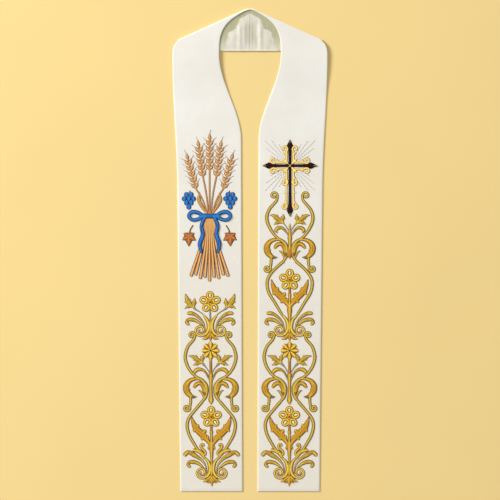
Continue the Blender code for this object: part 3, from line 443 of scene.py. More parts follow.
# Cross
CROSS_AT = (100.2, 209.9)
CROSS_UPRIGHT = (
    (0, 65.5, 0.8), (0, 50.5, 16.6), (0, 40, 8.6), (0, 26, 7.6), (0, 0, 7.2), (0, -60, 7.4),
    (0, -99, 8.6), (0, -113, 16.6), (0, -127.8, 0.8),
)
CROSS_ARM = ((28, 0, 7.4), (42, 0, 8.4), (53.5, 0, 16.6), (68.8, 0, 0.8))
CROSS_MIDDLE = (0, 0, 7)
CROSS_TIPS = (
    # x, y, along_x, along_y: middle of the lighter stroke at each arm's end, and half of it
    (0, 60.5, 0, 5.5),
    (0, -122.5, 0, 5.5),
    (-63.5, 0, 5.5, 0),
    (63.5, 0, 5.5, 0),
)
CROSS_TIP_WIDTHS = (1, 5.5)   # at the ends and in the middle
CROSS_SPARK = (3.0, 1.6)      # half length and width of each stroke of the small crossing stitch
CROSS_CORNER = (
    # points, and a curl where there is one
    (((9.5, 9.5, 6.5), (8.5, 24, 6.5), (8.5, 36, 6.5)), (13.3, 42.5, -290, 2.8, 5.9)),
    (((8.5, 27, 4.9), (11.5, 31, 6.5), (16, 34.5, 1.2)),),
)
CROSS_DIAGONAL = ((7.5, 7.5, 8.2), (13, 13, 8.2), (19, 19, 1.2))
CROSS_STEM_SIDE = (
    # points, and a curl where there is one
    (
        ((8.5, -34, 5.6), (9, -56, 4.9), (9, -70, 4.9), (9.5, -88, 5.6), (9.5, -96, 6.5)),
        (14.6, -102, 290, 2.8, 5.9),
    ),
    (((8.5, -66, 4.9), (12, -67.5, 4.9), (16, -68.3, 1.2)),),
    (((9, -88, 4.9), (12, -93, 6.5), (17, -95.5, 1.2)),),
)
RAYS = (
    # angle_deg, start, end
    (27, 30, 56),
    (36, 26, 74),
    (45, 30, 90),
    (54, 26, 78),
    (63, 30, 60),
)
RAY_WIDTH = 0.9
RAY_DASH = (7.0, 1.6)         # length of a stitch and of the gap after it

# Wheat sheaf with grapes and vine leaves
SHEAF_AT = (-101.5, 95.3)
EARS = (
    # base_x, base_y, lean_deg, length
    (0, 104, 0, 76),
    (17, 88, 8, 76),
    (35, 58, 15, 76),
)
EAR_STALK = 4
TIE_Y = -12
TIE_GATHER = 0.125
GRAIN_PAIRS = 5
GRAIN = ((0, 0, 3), (0, 7.5, 9), (0, 18, 1.5))
GRAIN_SPLAY = 32
TOP_GRAIN_LAP = 2
AWN = ((0, 14, 1.2), (1, 20, 0.9), (3, 27, 0.6))
STALKS = 4
STALK_SPACING = (2.5, 11.5)
STALK_WIDTHS = (5, 7, 9)
STALK_BULGE = 0.45
STALK_FOOT_Y = -172
STALK_STAGGER = (6, 3)
BLADE = ((5, -8, 4), (20, 14, 9), (27, 30, 10), (25, 48, 2))
RIBBON_TIE = ((-20, -12, 14), (0, -12, 12), (20, -12, 14))
RIBBON_LOOP = (
    (16, -12, 9), (30, -3, 10), (45, -2, 10), (52, -12, 9), (44, -21, 9), (30, -20, 9),
    (16, -12, 9),
)
RIBBON_TAIL = ((12, -14, 9), (20, -36, 10), (17, -58, 11), (24, -82, 12), (21, -102, 7))
RIBBON_FOLDS = (
    ((20, -11, 1.6), (31, -5, 2.2), (42, -5, 1.4)),
    ((-8, -12, 2.4), (0, -12, 2.0), (8, -12, 2.4)),
    ((14, -22, 1.4), (20, -40, 2.0), (17.5, -58, 1.6)),
    ((21, -72, 1.6), (23, -84, 2.0), (21.5, -96, 1.2)),
)
GRAPE_AT = (52, 42)
GRAPE_R = 6.6
GRAPE_PITCH = (11.6, -10.4)
GRAPE_ROWS = (2, 3, 2, 1)
GRAPE_STEM = ((0, 0, 4), (-3, 10, 2.8))
GRAPE_SHINE = (-1.8, 2.2, 2.6)
VINE_LEAF_AT = (52, -62)
VINE_LOBES = (
    # lean_deg, length, width
    (0, 26, 18),
    (58, 21, 16),
    (-58, 19, 16),
    (118, 16, 13),
    (-118, 15, 13),
)
VINE_STEM = ((0, 2, 5), (-4, 16, 3.4), (-10, 26, 3.4))
LOBE_ROOT = -2
LOBE_WIDEST = 0.45
LOBE_TIP = 1.5

# How strokes are sampled and raised
CURVE_STEPS = 6
CURL_STEP = 14
CAP_WIDTH = 3.0               # a stroke's end this wide or wider is round
CAP_ANGLES = (30, 58, 80)
DOT = 0.1
STITCH_Z = CLOTH + 0.02 * MM
RIBBON_SUNK = 0.5 * MM        # the ribbon starts this much below its plate, between the stalks
STITCH_HEIGHT = (0.34, 0.075, 1.0)   # in mm: at no width, for each mm of it, and at most
OVERLAY_SUNK = 0.82           # an overlay starts at this share of the height of the stroke below it
OVERLAY_HEIGHT = 0.3
OVERLAY_LEAST = 0.5
ORDER_STEP = 0.012            # each of ORDER_TURN strokes stands this much above the last
ORDER_TURN = 7

# Shape of a stroke's section
POINTS_ACROSS = 9
FULLNESS = 2.4                # how square its top is
DOME_POWER = 0.6

# Satin stitch. Noises are (scale, detail), shades (factor, least), bumps (distance, strength).
RIM_MOST = 0.5                # an outline takes at most this share of the half width
RIM_BLUR = (0.7, 1.25)        # it fades out between these shares of its width
# The middle's colour is a painted highlight down the crest of a stroke
PAINTED_HIGHLIGHT_BLUR = (0.14, 0.52)    # the middle's colour fades out between these shares of the half width
STITCH_LEAN = 0.35
STRAND_STRETCH = 0.12
STRAND_NOISE = (0.9, 2.0)
STRAND_WANDER = 3.0
BROAD_NOISE = (0.16, 1.0)
RIDGE = (0.38, 0.5)
RIDGE_HEIGHT = 0.7
STRAND_HEIGHT = 0.45
STRAND_SHADE = (0.34, 0.66)
BROAD_SHADE = 0.34
# Stitch crests are painted lighter and the grooves between them darker, as light and shade
RIDGE_PAINTED_LIGHT = (0.16, 0.92)
STITCH_ROUGHNESS = (0.2, 0.34)
STITCH_BUMP = (0.16 * MM, 0.8)
THREAD_SHEEN_ROUGHNESS = 0.4

# Face cloth. Colours are sRGB, 0 to 255.
IVORY = ((236, 231, 219), (241, 238, 229))   # cloudy from one to the other
IVORY_LOW = (235, 229, 215)   # towards the hems
IVORY_LOW_ENDS = (-0.2, 0.35)   # heights up the stole between which it gives way, in metres
CLOUD_NOISE = (7.0, 3.0)
CLOUD_BLUR = (0.3, 0.7)
SLUB_NOISE = (220.0, 1.0)
YARN_NOISE = (900.0, 2.0)
YARN_SHADE = (0.08, 0.96)
CLOTH_ROUGHNESS = (0.16, 0.62)
ROUGHNESS_SCALE = 60.0
SOFT_NOISE = (26.0, 3.0)
SOFT_BUMP = (1.2 * MM, 0.25)
WEAVE_BUMP = (0.12 * MM, 0.5)
CLOTH_SHEEN = (0.15, 0.5)     # weight and roughness

# Lining satin. Reaches are in millimetres, aside from the centre seam or above the lower edge.
# The rim under the front is painted darker and greener, as shade cast by the front, and paler
# towards the lower edge
RIM_PAINTED_SHADE = ((164, 163, 124), (196, 192, 156))
RIM_PAINTED_SHADE_LOW = (224, 219, 192)
RIM_PAINTED_SHADE_LOW_REACH = (45, 0)
RIM_PAINTED_SHADE_LOW_SHARE = 0.75
# Streaks down the lining are painted lighter where the bump raises them and darker between, as
# light and shade on fine folds
INNER_PAINTED_STREAK_SHADING = ((204, 196, 174), (231, 225, 209))
FIGURE = ((238, 234, 224), 0.3)   # colour and strength
MIDDLE_SHADE = ((188, 184, 158), 0.7)
MIDDLE_ASIDE = (19, 9)
MIDDLE_ABOVE = ((2, 34), (86, 58))
# A painted highlight on the high folds either side of the seam
RIB_PAINTED_HIGHLIGHT = ((242, 236, 222), 0.25)
RIB_ASIDE = ((15, 20), (31, 25))
# A painted highlight along the lining's turned lower edge
EDGE_PAINTED_HIGHLIGHT = (250, 245, 226)
EDGE_REACH = (4.2, 2.8)
RAGGED_NOISE = (70.0, 3.0)
RAGGED = (1.4, -0.7)
RAGGED_BLUR = (0.15, 0.85)
STREAK_STRETCH = (1.0, 0.12, 1.0)
STREAK_NOISE = (260.0, 3.0, 0.6)
FINE_STRETCH = (1.0, 0.04, 1.0)
FINE_NOISE = (2200.0, 2.0)
FIGURE_STRETCH = (1.0, 0.55, 1.0)
FIGURE_SCALE = 62.0
FIGURE_BLUR = (0.34, 0.42)
SATIN_ROUGHNESS = (0.18, 0.36)
STREAK_HEIGHT = 0.7
FINE_HEIGHT = 0.25
SATIN_BUMP = (0.8 * MM, 0.4)
SATIN_SHEEN = 0.2

# Stage
FLOOR_SIZE = 12.0
FLOOR_DROP = 0.1 * MM
FLOOR_COLOUR = (247, 217, 144)
FLOOR_SHADE = 0.94            # its darker patches
FLOOR_PATCHES = 3.0
FLOOR_ROUGHNESS = 0.9
KEY_AT = (-8.0, 4.6, 3.2)
KEY_SIZE = 2.4
SENSOR = 36.0
FAR_CLIP = 100.0
VIEW_CENTRE_Y = -1.8 * MM


def smooth(t):
    t = min(1.0, max(0.0, t))
    return t * t * (3 - 2 * t)


def mix(a, b, t):
    return a + (b - a) * t


def linear(colour):
    """An sRGB colour, 0 to 255, as linear RGBA."""
    channels = (c / 255 for c in colour)
    return [c / 12.92 if c <= 0.04045 else ((c + 0.055) / 1.055) ** 2.4 for c in channels] + [1.0]


def rise(depth, flare):
    start, end = flare
    return smooth((start - depth) / (start - end))


def outer_x(y):
    """Outer edge of a band, straight from the hem, then flaring to the shoulder."""
    straight_end = NECK_Y - SIDE_FLARE[1]
    t = min(1.0, (y - HEM_Y) / (straight_end - HEM_Y))
    flare = (SHOULDER_OUTER - SIDE_OUTER) * rise(NECK_Y - y, SIDE_FLARE)
    return mix(HEM_OUTER, SIDE_OUTER, t) + flare


def inner_x(y):
    """Inner edge of a band, nearly straight from the hem, then opening round the neck."""
    chest_y = NECK_Y - NECK_FLARE[0]
    t = min(1.0, (y - HEM_Y) / (chest_y - HEM_Y))
    flare = (NECK_HALF - CHEST_INNER) * rise(NECK_Y - y, NECK_FLARE)
    return mix(HEM_INNER, CHEST_INNER, t) + flare


def turn_line_y(x):
    """The line where the front starts to turn over at the shoulder."""
    return NECK_Y - FOLD_DROP - FOLD_SLOPE * x


def rounded_y(x, y):
    """A height near the neck point, let down so that the point comes out round."""
    beside = max(0.0, 1 - x / POINT_WIDTH)
    near = smooth(1 - (turn_line_y(x) - y) / POINT_DEPTH)
    return y - POINT_DROP * beside**2 * near


def bezier(points, t):
    while len(points) > 1:
        points = [a.lerp(b, t) for a, b in zip(points, points[1:])]
    return points[0]


def along(path, count):
    """count + 1 points at even distances along a path of many short steps."""
    lengths = [0.0]
    for a, b in zip(path, path[1:]):
        lengths.append(lengths[-1] + (b - a).length)
    found = []
    i = 0
    for k in range(count + 1):
        want = lengths[-1] * k / count
        while i < len(path) - 2 and lengths[i + 1] < want:
            i += 1
        found.append(path[i].lerp(path[i + 1], (want - lengths[i]) / (lengths[i + 1] - lengths[i])))
    return found


def edge_path(x_of, low, high):
    heights = (mix(low, high, i / EDGE_STEPS) for i in range(EDGE_STEPS + 1))
    return [Vector((x_of(y), y)) for y in heights]


def outer_path(start):
    """Outer edge from a height, round the shoulder corner, to the fold."""
    side = edge_path(outer_x, start, NECK_Y - CORNER_DEPTH)
    corner = Vector((CORNER_X, turn_line_y(CORNER_X)))
    controls = [side[-1], Vector((SHOULDER_OUTER, NECK_Y - CORNER_CONTROL)), corner]
    return side + [bezier(controls, i / CORNER_STEPS) for i in range(1, CORNER_STEPS + 1)]


def inner_path(start):
    """Inner edge from the same height, up the neck edge, to the neck point."""
    side = edge_path(inner_x, start, NECK_Y - ARCH_DEPTH)
    end = Vector((SEAM_X, turn_line_y(SEAM_X)))
    top = Vector((ARCH_TOP[0], end.y - ARCH_TOP[1]))
    controls = [side[-1], Vector((NECK_HALF, NECK_Y - ARCH_SIDE)), top, end]
    return side + [bezier(controls, i / ARCH_STEPS) for i in range(1, ARCH_STEPS + 1)]


def front_lift(y):
    """Height of the front's underside: on the surface, or on the back of the neck."""
    high, low = STEP_DOWN
    return STEP_HEIGHT * smooth((low - (NECK_Y - y)) / (low - high))


def back_edge_y(x):
    """Lower edge of the back of the neck: level in the opening, rising to the shoulder corner."""
    t = max(0.0, (x - BACK_LEVEL_X) / (CORNER_X - BACK_LEVEL_X))
    return mix(BACK_EDGE_Y, turn_line_y(CORNER_X), t * t)


def cloth_wave(x, y, height):
    """Soft waves of cloth that has been ironed and laid down."""
    waves = (
        share * noise.noise(Vector((x * across, y * down, seed)))
        for across, down, seed, share in WAVES
    )
    return height * sum(waves)


def front_rows(wave):
    """Rows of (face side, wrong side) points of a front, from the hem to the fold."""
    chest_y = NECK_Y - NECK_FLARE[0]
    heights = (mix(HEM_Y, chest_y, i / STRAIGHT_ROWS) for i in range(STRAIGHT_ROWS))
    ends = [(Vector((outer_x(y), y)), Vector((inner_x(y), y))) for y in heights]
    ends += zip(along(outer_path(chest_y), NECK_ROWS), along(inner_path(chest_y), NECK_ROWS))
    rows = []
    for outer, inner in ends:
        row = []
        for j in range(COLUMNS + 1):
            p = outer.lerp(inner, j / COLUMNS)
            p.y = rounded_y(p.x, p.y)
            z = front_lift(p.y)
            calm = smooth(min((p - outer).length, (p - inner).length, p.y - HEM_Y) / EDGE_CALM)
            lifted = z + CLOTH + cloth_wave(p.x, p.y, wave) * calm
            row.append((Vector((p.x, p.y, lifted)), Vector((p.x, p.y, z))))
        rows.append(row)
    return rows


def fold_rows(turn):
    """Rows that turn over at the shoulder, from the points on the front where the fold starts."""
    rows = []
    across = Vector((FOLD_SLOPE * FOLD_COS, FOLD_COS))
    upright = Vector((0, 1 / FOLD_COS))
    for k in range(1, TURN_STEPS + 1):
        angle = math.pi * (0.5 - k / TURN_STEPS)
        row = []
        for j, p in enumerate(turn):
            out = across.lerp(upright, j / COLUMNS) * math.cos(angle)
            row.append(tuple(
                Vector((p.x + out.x * r, p.y + out.y * r, FOLD_RADIUS + r * math.sin(angle)))
                for r in (FOLD_RADIUS, FOLD_RADIUS - CLOTH)
            ))
        rows.append(row)
    return rows


def back_rows(turn):
    """Rows of the back of the neck, which lies on the surface under the fronts."""
    rows = []
    for k in range(1, BACK_ROWS + 1):
        row = []
        for p in turn:
            y = mix(p.y, back_edge_y(p.x), k / BACK_ROWS)
            row.append((Vector((p.x, y, 0.0)), Vector((p.x, y, CLOTH))))
        rows.append(row)
    return rows


def band_rows(wave):
    """All rows of a band, from the hem, over the shoulder, to the back's lower edge."""
    front = front_rows(wave)
    turn = [face for face, _ in front[-1]]
    return front + fold_rows(turn) + back_rows(turn)


def rolled_section(row, thickness):
    """A closed ring with turned edges round a row of cloth, at a share of its thickness."""
    pairs = []
    for face, wrong in row:
        middle, half = (face + wrong) / 2, (face - wrong) / 2
        pairs.append((middle, half * thickness))
    ring = []
    for pair, beside, turn in ((pairs[0], pairs[1], -1), (pairs[-1], pairs[-2], 1)):
        middle, half = pair
        inward = (beside[0] - middle).normalized() * half.length
        for k in range(ROLL_STEPS + 1):
            angle = math.pi * (k / ROLL_STEPS - 0.5) * -turn
            ring.append(middle + inward * (1 - math.cos(angle)) + half * math.sin(angle))
        if turn < 0:
            ring += [middle + half for middle, half in pairs[1:-1]]
    return ring + [middle - half for middle, half in reversed(pairs[1:-1])]


def shift_row(row, beside, share):
    """A row moved towards its neighbour by a share of the cloth's half thickness."""
    moved = []
    for (face, wrong), (near_face, near_wrong) in zip(row, beside):
        towards = ((near_face + near_wrong) - (face + wrong)).normalized()
        step = towards * (face - wrong).length / 2 * share
        moved.append((face + step, wrong + step))
    return moved


def rounded_end(row, beside):
    """Rings that round off a wall's end, from its outermost to its whole thickness."""
    turns = [math.radians(a) for a in END_ANGLES]
    rings = [rolled_section(shift_row(row, beside, 1 - math.cos(a)), math.sin(a)) for a in turns]
    return rings + [rolled_section(shift_row(row, beside, 1), 1)]


def closed_wall(name, rows, side, material):
    """A closed cloth wall with rounded edges all round. side is 1, or -1 for the mirrored piece."""
    rings = rounded_end(rows[0], rows[1])
    rings += [rolled_section(row, 1) for row in rows[1:-1]]
    rings += rounded_end(rows[-1], rows[-2])[::-1]
    bm = bmesh.new()
    made = [[bm.verts.new((side * p.x, p.y, p.z)) for p in ring] for ring in rings]
    count = len(made[0])
    for a, b in zip(made, made[1:]):
        for j in range(count):
            bm.faces.new((a[j], a[(j + 1) % count], b[(j + 1) % count], b[j]))
    edge = ROLL_STEPS // 2
    for ring in (made[0], made[-1]):
        for j in range(count // 2):
            corners = (ring[(edge + step) % count] for step in (j, j + 1, -j - 1, -j))
            bm.faces.new(list(dict.fromkeys(corners)))
    bmesh.ops.remove_doubles(bm, verts=bm.verts, dist=WELD)
    return finished_mesh(name, bm, material)


def finished_mesh(name, bm, material):
    """A named object from a bmesh, facing outwards and shaded smooth."""
    bmesh.ops.recalc_face_normals(bm, faces=bm.faces)
    mesh = bpy.data.meshes.new(name)
    bm.to_mesh(mesh)
    bm.free()
    mesh.shade_smooth()
    mesh.materials.append(material)
    piece = bpy.data.objects.new(name, mesh)
    bpy.context.scene.collection.objects.link(piece)
    return piece


def lining_fold(x, y):
    """Height that the lining's soft folds add, fading out where the front covers it."""
    half_width, height = FOLD_WINDOW
    inside = 1 - (x / half_width) ** 2 - ((y - BACK_EDGE_Y) / height) ** 2
    least, whole = FOLD_AT_EDGE
    edge = mix(least, 1.0, smooth((y - BACK_EDGE_Y) / whole))
    total = sum(h * math.exp(-(((x / MM - c) / w) ** 2)) for c, w, h in LINING_FOLDS)
    return total * MM * smooth(inside * FOLD_FADE) * edge


def lining_rows():
    """Rows of (upper, under) points of half the lining, from the centre back seam outwards."""
    rows = []
    for i in range(LINING_COLUMNS + 1):
        x = mix(SEAM_X, CORNER_X - LINING_INSET, (i / LINING_COLUMNS) ** LINING_CROWDING)
        low = back_edge_y(x) + TURNED_EDGE
        high = turn_line_y(x)
        row = []
        for j in range(LINING_ROWS + 1):
            y = rounded_y(x, mix(low, high, j / LINING_ROWS))
            z = LINING_LOW.z + lining_fold(x, y)
            row.append((Vector((x, y, z + LINING)), Vector((x, y, z))))
        rows.append(row)
    return rows


def lightness_of_lining(x, y):
    """1 inside the lighter part of the lining, 0 in its rim under the front, which is painted
    darker as shade cast by the front.
    """
    above = (y - BACK_EDGE_Y) / MM
    half = PAINTED_SHADE_BORDER[-1][1]
    for (low, near), (high, far) in zip(PAINTED_SHADE_BORDER, PAINTED_SHADE_BORDER[1:]):
        if low <= above <= high:
            half = mix(near, far, (above - low) / (high - low))
    if above < 0:
        half = PAINTED_SHADE_BORDER[0][1]
    return smooth((half - abs(x) / MM) / PAINTED_SHADE_BORDER_FADE + 0.5)


def smooth_stroke(points):
    """A Catmull-Rom curve through (x, y, width) points."""
    points = [Vector(p) for p in points]
    ends = [2 * points[0] - points[1]] + points + [2 * points[-1] - points[-2]]
    found = [points[0]]
    for a, b, c, d in zip(ends, ends[1:], ends[2:], ends[3:]):
        for k in range(1, CURVE_STEPS + 1):
            t = k / CURVE_STEPS
            square, cube = 2 * a - 5 * b + 4 * c - d, 3 * b - a - 3 * c + d
            p = 2 * b + (c - a) * t + square * t**2 + cube * t**3
            found.append(Vector((p.x / 2, p.y / 2, mix(b.z, c.z, t))))
    return found


def curl_on(path, curl):
    """Carries a path on round a curl's centre while its radius and width shrink."""
    x, y, turn, end_radius, end_width = curl
    start = path[-1]
    radius = math.hypot(start.x - x, start.y - y)
    angle = math.atan2(start.y - y, start.x - x)
    steps = round(abs(turn) / CURL_STEP)
    for k in range(1, steps + 1):
        t = k / steps
        a = angle + math.radians(turn) * t
        r = mix(radius, end_radius, t)
        path.append(Vector((x + r * math.cos(a), y + r * math.sin(a), mix(start.z, end_width, t))))
    return path


def stroke(points, curl=None):
    """A smooth path through a stroke's points, carried on round its curl."""
    path = smooth_stroke(points)
    return curl_on(path, curl) if curl else path


def turned(path, degrees, x=0, y=0):
    """A path turned about its origin, anticlockwise, and moved."""
    c, s = math.cos(math.radians(degrees)), math.sin(math.radians(degrees))
    return [Vector((x + p.x * c - p.y * s, y + p.x * s + p.y * c, p.z)) for p in path]


def dot(width, x=0, y=0):
    return [Vector((x, y, width)), Vector((x, y + DOT, width))]


def upside_down(path):
    return [Vector((p.x, -p.y, p.z)) for p in path]


def moved(strokes, at, side=1):
    """Stitched strokes moved to a place, and mirrored first where side is -1."""
    return [
        (thread, [Vector((at[0] + side * p.x, at[1] + p.y, p.z)) for p in path])
        for thread, path in strokes
    ]


def both_sides(strokes):
    return strokes + moved(strokes, (0, 0), -1)


def teeth(thread, path):
    """Small points along both sides of a leaf, leaning to its narrow end."""
    if thread not in TEETH:
        return []
    if path[-1].z < path[0].z:
        path = path[::-1]
    name, shares, reach, lean = TEETH[thread]
    root, middle, end = TOOTH_WIDTHS
    found = []
    for share in shares:
        k = round(share * (len(path) - 1))
        p, tipward = path[k], (path[k - 1] - path[k + 1]).to_2d().normalized()
        for aside in (Vector((-tipward.y, tipward.x)), Vector((tipward.y, -tipward.x))):
            edge = p.to_2d() + aside * p.z / 2
            tip = edge + aside * reach + tipward * lean
            found.append((name, stroke(((p.x, p.y, root), (*edge, middle), (*tip, end)))))
    return found


def motif_strokes(name, inward):
    """A motif's stitched strokes, as (thread, path), about its centre line."""
    found = []
    for thread, paired, points, *curl in MOTIFS[name]:
        path = stroke(points, *curl)
        made = teeth(thread, path) + [(thread, path)]
        found += both_sides(moved(made, (-inward, 0))) if paired else made
    return found


def flower_strokes():
    """A blossom: a ring for each petal with a pale drop in it, and an eye."""
    along_half, across_half = PETAL_HALF
    ring = []
    for k in range(PETAL_SIDES):
        a = 2 * math.pi * k / PETAL_SIDES
        y = PETAL_CENTRE - along_half * math.cos(a)
        ring.append(Vector((across_half * math.sin(a), y, PETAL_STROKE)))
    drop = stroke(PETAL_DROP)
    found = [("eye", dot(FLOWER_EYE)), ("dark_dot", dot(FLOWER_DOT))]
    for k in range(PETALS):
        turn = 360 * k / PETALS
        found.append(("petal", turned(ring, turn)))
        found.append(("drop", turned(drop, turn)))
    return found


def rosette_strokes():
    petal = stroke(ROSETTE_PETAL)
    turns = (360 * k / ROSETTE_PETALS for k in range(ROSETTE_PETALS))
    found = [("rosette", turned(petal, turn)) for turn in turns]
    return found + [("dark_dot", dot(ROSETTE_DOT))]


def panel_strokes(panel):
    """All stitched strokes of a scroll panel, in millimetres on the stole."""
    top_x, hem_x = panel["axis"]
    hem = HEM_Y / MM
    placed = [(motif_strokes(name, inward), y) for name, y, inward in panel["motifs"]]
    placed += [(flower_strokes(), y) for y in panel["flowers"]]
    placed.append((rosette_strokes(), FOUNTAIN_Y + ROSETTE_Y))
    found = []
    for strokes, origin in placed:
        for thread, path in strokes:
            row = []
            for p in path:
                y = origin + p.y
                axis_x = mix(hem_x, top_x, (y - hem) / (PANEL_TOP_Y - hem))
                row.append(Vector((axis_x + p.x, y, p.z)))
            found.append((thread, row))
    return found


def corner_strokes(lower):
    """Filigree in one corner of the cross, for the upper or lower right."""
    upright = [stroke(*row) for row in CROSS_CORNER]
    level = [[Vector((p.y, p.x, p.z)) for p in path] for path in upright]
    found = upright + level + [stroke(CROSS_DIAGONAL)]
    if lower:
        found = [upside_down(path) for path in found]
        found += [stroke(*row) for row in CROSS_STEM_SIDE]
    return [("filigree", path) for path in found]


def cross_strokes():
    """The arms, their lighter tips and the small stitch at the crossing."""
    level = [(-x, y, width) for x, y, width in reversed(CROSS_ARM)] + [CROSS_MIDDLE, *CROSS_ARM]
    found = [("cross_dark", stroke(points)) for points in (CROSS_UPRIGHT, level)]
    end, middle = CROSS_TIP_WIDTHS
    for x, y, along_x, along_y in CROSS_TIPS:
        low, high = (x - along_x, y - along_y, end), (x + along_x, y + along_y, end)
        found.append(("cross_tip", stroke((low, (x, y, middle), high))))
    reach, width = CROSS_SPARK
    for turn in (1, -1):
        low, high = (-reach, -reach * turn, width), (reach, reach * turn, width)
        found.append(("cross_spark", stroke((low, (0, 0, width), high))))
    return moved(found, CROSS_AT)


def ray_strokes():
    """Thin broken lines that fan out between the arms."""
    stitch, gap = RAY_DASH
    found = []
    for angle, start, end in RAYS:
        c, s = math.cos(math.radians(angle)), math.sin(math.radians(angle))
        r = start
        while r < end:
            tail = min(r + stitch, end)
            ends = [Vector((a * c, a * s, RAY_WIDTH)) for a in (r, (r + tail) / 2, tail)]
            found.append(("ray", ends))
            r = tail + gap
    found = both_sides(found)
    below = [(thread, upside_down(path)) for thread, path in found]
    return moved(found + below, CROSS_AT)


def ear_strokes(base_x, base_y, lean, length):
    """A wheat ear: its stalk from the tie, grains in pairs and one at the top, and their awns."""
    stalk = (
        (base_x * TIE_GATHER, TIE_Y, EAR_STALK),
        (base_x / 2, base_y / 2, EAR_STALK),
        (base_x, base_y, EAR_STALK),
    )
    spine = stroke(((0, 0, EAR_STALK), (0, length, EAR_STALK)))
    grain, awn = stroke(GRAIN), stroke(AWN)
    ear = [("ear_stalk", spine)]
    for k in range(GRAIN_PAIRS):
        for side in (-1, 1):
            y = length * k / GRAIN_PAIRS
            whisker = awn if side < 0 else [Vector((-p.x, p.y, p.z)) for p in awn]
            ear.append(("awn", turned(whisker, side * GRAIN_SPLAY, y=y)))
            ear.append(("grain", turned(grain, side * GRAIN_SPLAY, y=y)))
    top = (0, length - TOP_GRAIN_LAP)
    ear += moved([("awn", awn), ("grain", grain)], top)
    leaning = [(thread, turned(path, -lean, base_x, base_y)) for thread, path in ear]
    return [("ear_stalk", stroke(stalk))] + leaning


def sheaf_strokes():
    """Ears, stalks and blades of the wheat sheaf."""
    found = both_sides([("blade", stroke(BLADE))])
    for base_x, base_y, lean, length in EARS:
        ear = ear_strokes(base_x, base_y, lean, length)
        found += both_sides(ear) if base_x else ear
    tie_spacing, foot_spacing = STALK_SPACING
    tie_width, half_width, foot_width = STALK_WIDTHS
    alternate, outward = STALK_STAGGER
    for k in range(-STALKS, STALKS + 1):
        y = STALK_FOOT_Y + alternate * (abs(k) % 2) + outward * abs(k)
        points = (
            (k * tie_spacing, TIE_Y, tie_width),
            (k * foot_spacing * STALK_BULGE, y / 2, half_width),
            (k * foot_spacing, y, foot_width),
        )
        found.append(("stalk", stroke(points)))
    return found


def ribbon_strokes():
    tie = [("ribbon", stroke(RIBBON_TIE))]
    folds = [("ribbon_fold", stroke(points)) for points in RIBBON_FOLDS]
    sides = [("ribbon", stroke(points)) for points in (RIBBON_TAIL, RIBBON_LOOP)]
    return both_sides(sides) + tie + both_sides(folds)


def grape_strokes():
    """A bunch of grapes with a small light on each, hanging from its stem."""
    pitch_x, pitch_y = GRAPE_PITCH
    shine_x, shine_y, shine_width = GRAPE_SHINE
    found = [("vine_stem", stroke(GRAPE_STEM))]
    for i, count in enumerate(GRAPE_ROWS):
        for k in range(count):
            x, y = (k - (count - 1) / 2) * pitch_x, i * pitch_y
            found.append(("grape", dot(2 * GRAPE_R, x, y)))
            found.append(("shine", dot(shine_width, x + shine_x, y + shine_y)))
    return moved(found, GRAPE_AT)


def vine_leaf_strokes():
    found = [("vine_stem", stroke(VINE_STEM))]
    for lean, length, width in VINE_LOBES:
        lobe = ((0, LOBE_ROOT, width / 2), (0, length * LOBE_WIDEST, width), (0, length, LOBE_TIP))
        found.append(("vine", turned(stroke(lobe), 180 - lean)))
    return moved(found, VINE_LEAF_AT)


def capped(path):
    """A path with round ends where it is wide: more points whose width shrinks as on a disc."""
    ends = []
    for end, beside in ((path[0], path[1]), (path[-1], path[-2])):
        cap = []
        if end.z >= CAP_WIDTH:
            out = Vector((end.x - beside.x, end.y - beside.y)).normalized() * end.z / 2
            for degrees in CAP_ANGLES:
                reach, narrow = math.sin(math.radians(degrees)), math.cos(math.radians(degrees))
                cap.append(Vector((end.x + out.x * reach, end.y + out.y * reach, end.z * narrow)))
        ends.append(cap)
    return ends[0][::-1] + path + ends[1]


def overlays(thread, path):
    """Veins and dark tips that lie on a stroke: (thread, path, the stroke's own widths)."""
    if path[-1].z < path[0].z:
        path = path[::-1]
    last = len(path) - 1
    found = []
    for name, share, start, end in OVERLAYS.get(thread, ()):
        part = path[round(start * last) : round(end * last) + 1]
        if len(part) > 2:
            bulge = (abs(math.sin(math.pi * k / (len(part) - 1))) ** 0.5 for k in range(len(part)))
            widths = (max(OVERLAY_LEAST, p.z * share * b) for p, b in zip(part, bulge))
            laid = [Vector((p.x, p.y, width)) for p, width in zip(part, widths)]
            found.append((name, laid, [p.z for p in part]))
    return found


def stitch_height(width):
    """Height of a stroke's stitches above its underside, in metres."""
    least, growth, most = STITCH_HEIGHT
    return min(most, least + growth * width) * MM


def point_values(mesh, name, values):
    """A number at each point of a mesh."""
    mesh.attributes.new(name, "FLOAT", "POINT").data.foreach_set("value", values)


class Lines:
    """Lines with a width, heights and colours at each point, as one mesh of edges."""

    def __init__(self):
        self.points, self.edges = [], []
        self.values = {name: [] for name in ("half_width", "base_z", "stitch_height", "outline")}
        # middle holds the painted highlight down each stroke's crest
        self.colours = {name: [] for name in ("body", "edge", "middle")}

    def add(self, thread, path, bases, heights):
        row, root = THREADS[thread], THREADS.get(f"{thread}_root")
        least, whole = ROOT_WIDTHS
        first = len(self.points)
        for p, base, height in zip(path, bases, heights):
            self.points.append((p.x * MM, p.y * MM, base))
            self.values["half_width"].append(p.z * MM / 2)
            self.values["base_z"].append(base)
            self.values["stitch_height"].append(height)
            self.values["outline"].append(row.outline)
            own = smooth((p.z - least) / (whole - least))
            for name, colours in self.colours.items():
                shown = linear(getattr(row, name))
                if root:
                    shown = [mix(a, b, own) for a, b in zip(linear(getattr(root, name)), shown)]
                colours.append(shown)
        count = len(path)
        self.edges += [(first + i, first + i + 1) for i in range(count - 1)]
        if thread in RINGS:
            self.edges.append((first + count - 1, first))

    def mesh(self, name):
        mesh = bpy.data.meshes.new(name)
        mesh.from_pydata(self.points, self.edges, [])
        for key, values in self.values.items():
            point_values(mesh, key, values)
        for key, colours in self.colours.items():
            flat = [channel for colour in colours for channel in colour]
            mesh.attributes.new(key, "FLOAT_COLOR", "POINT").data.foreach_set("color", flat)
        return mesh


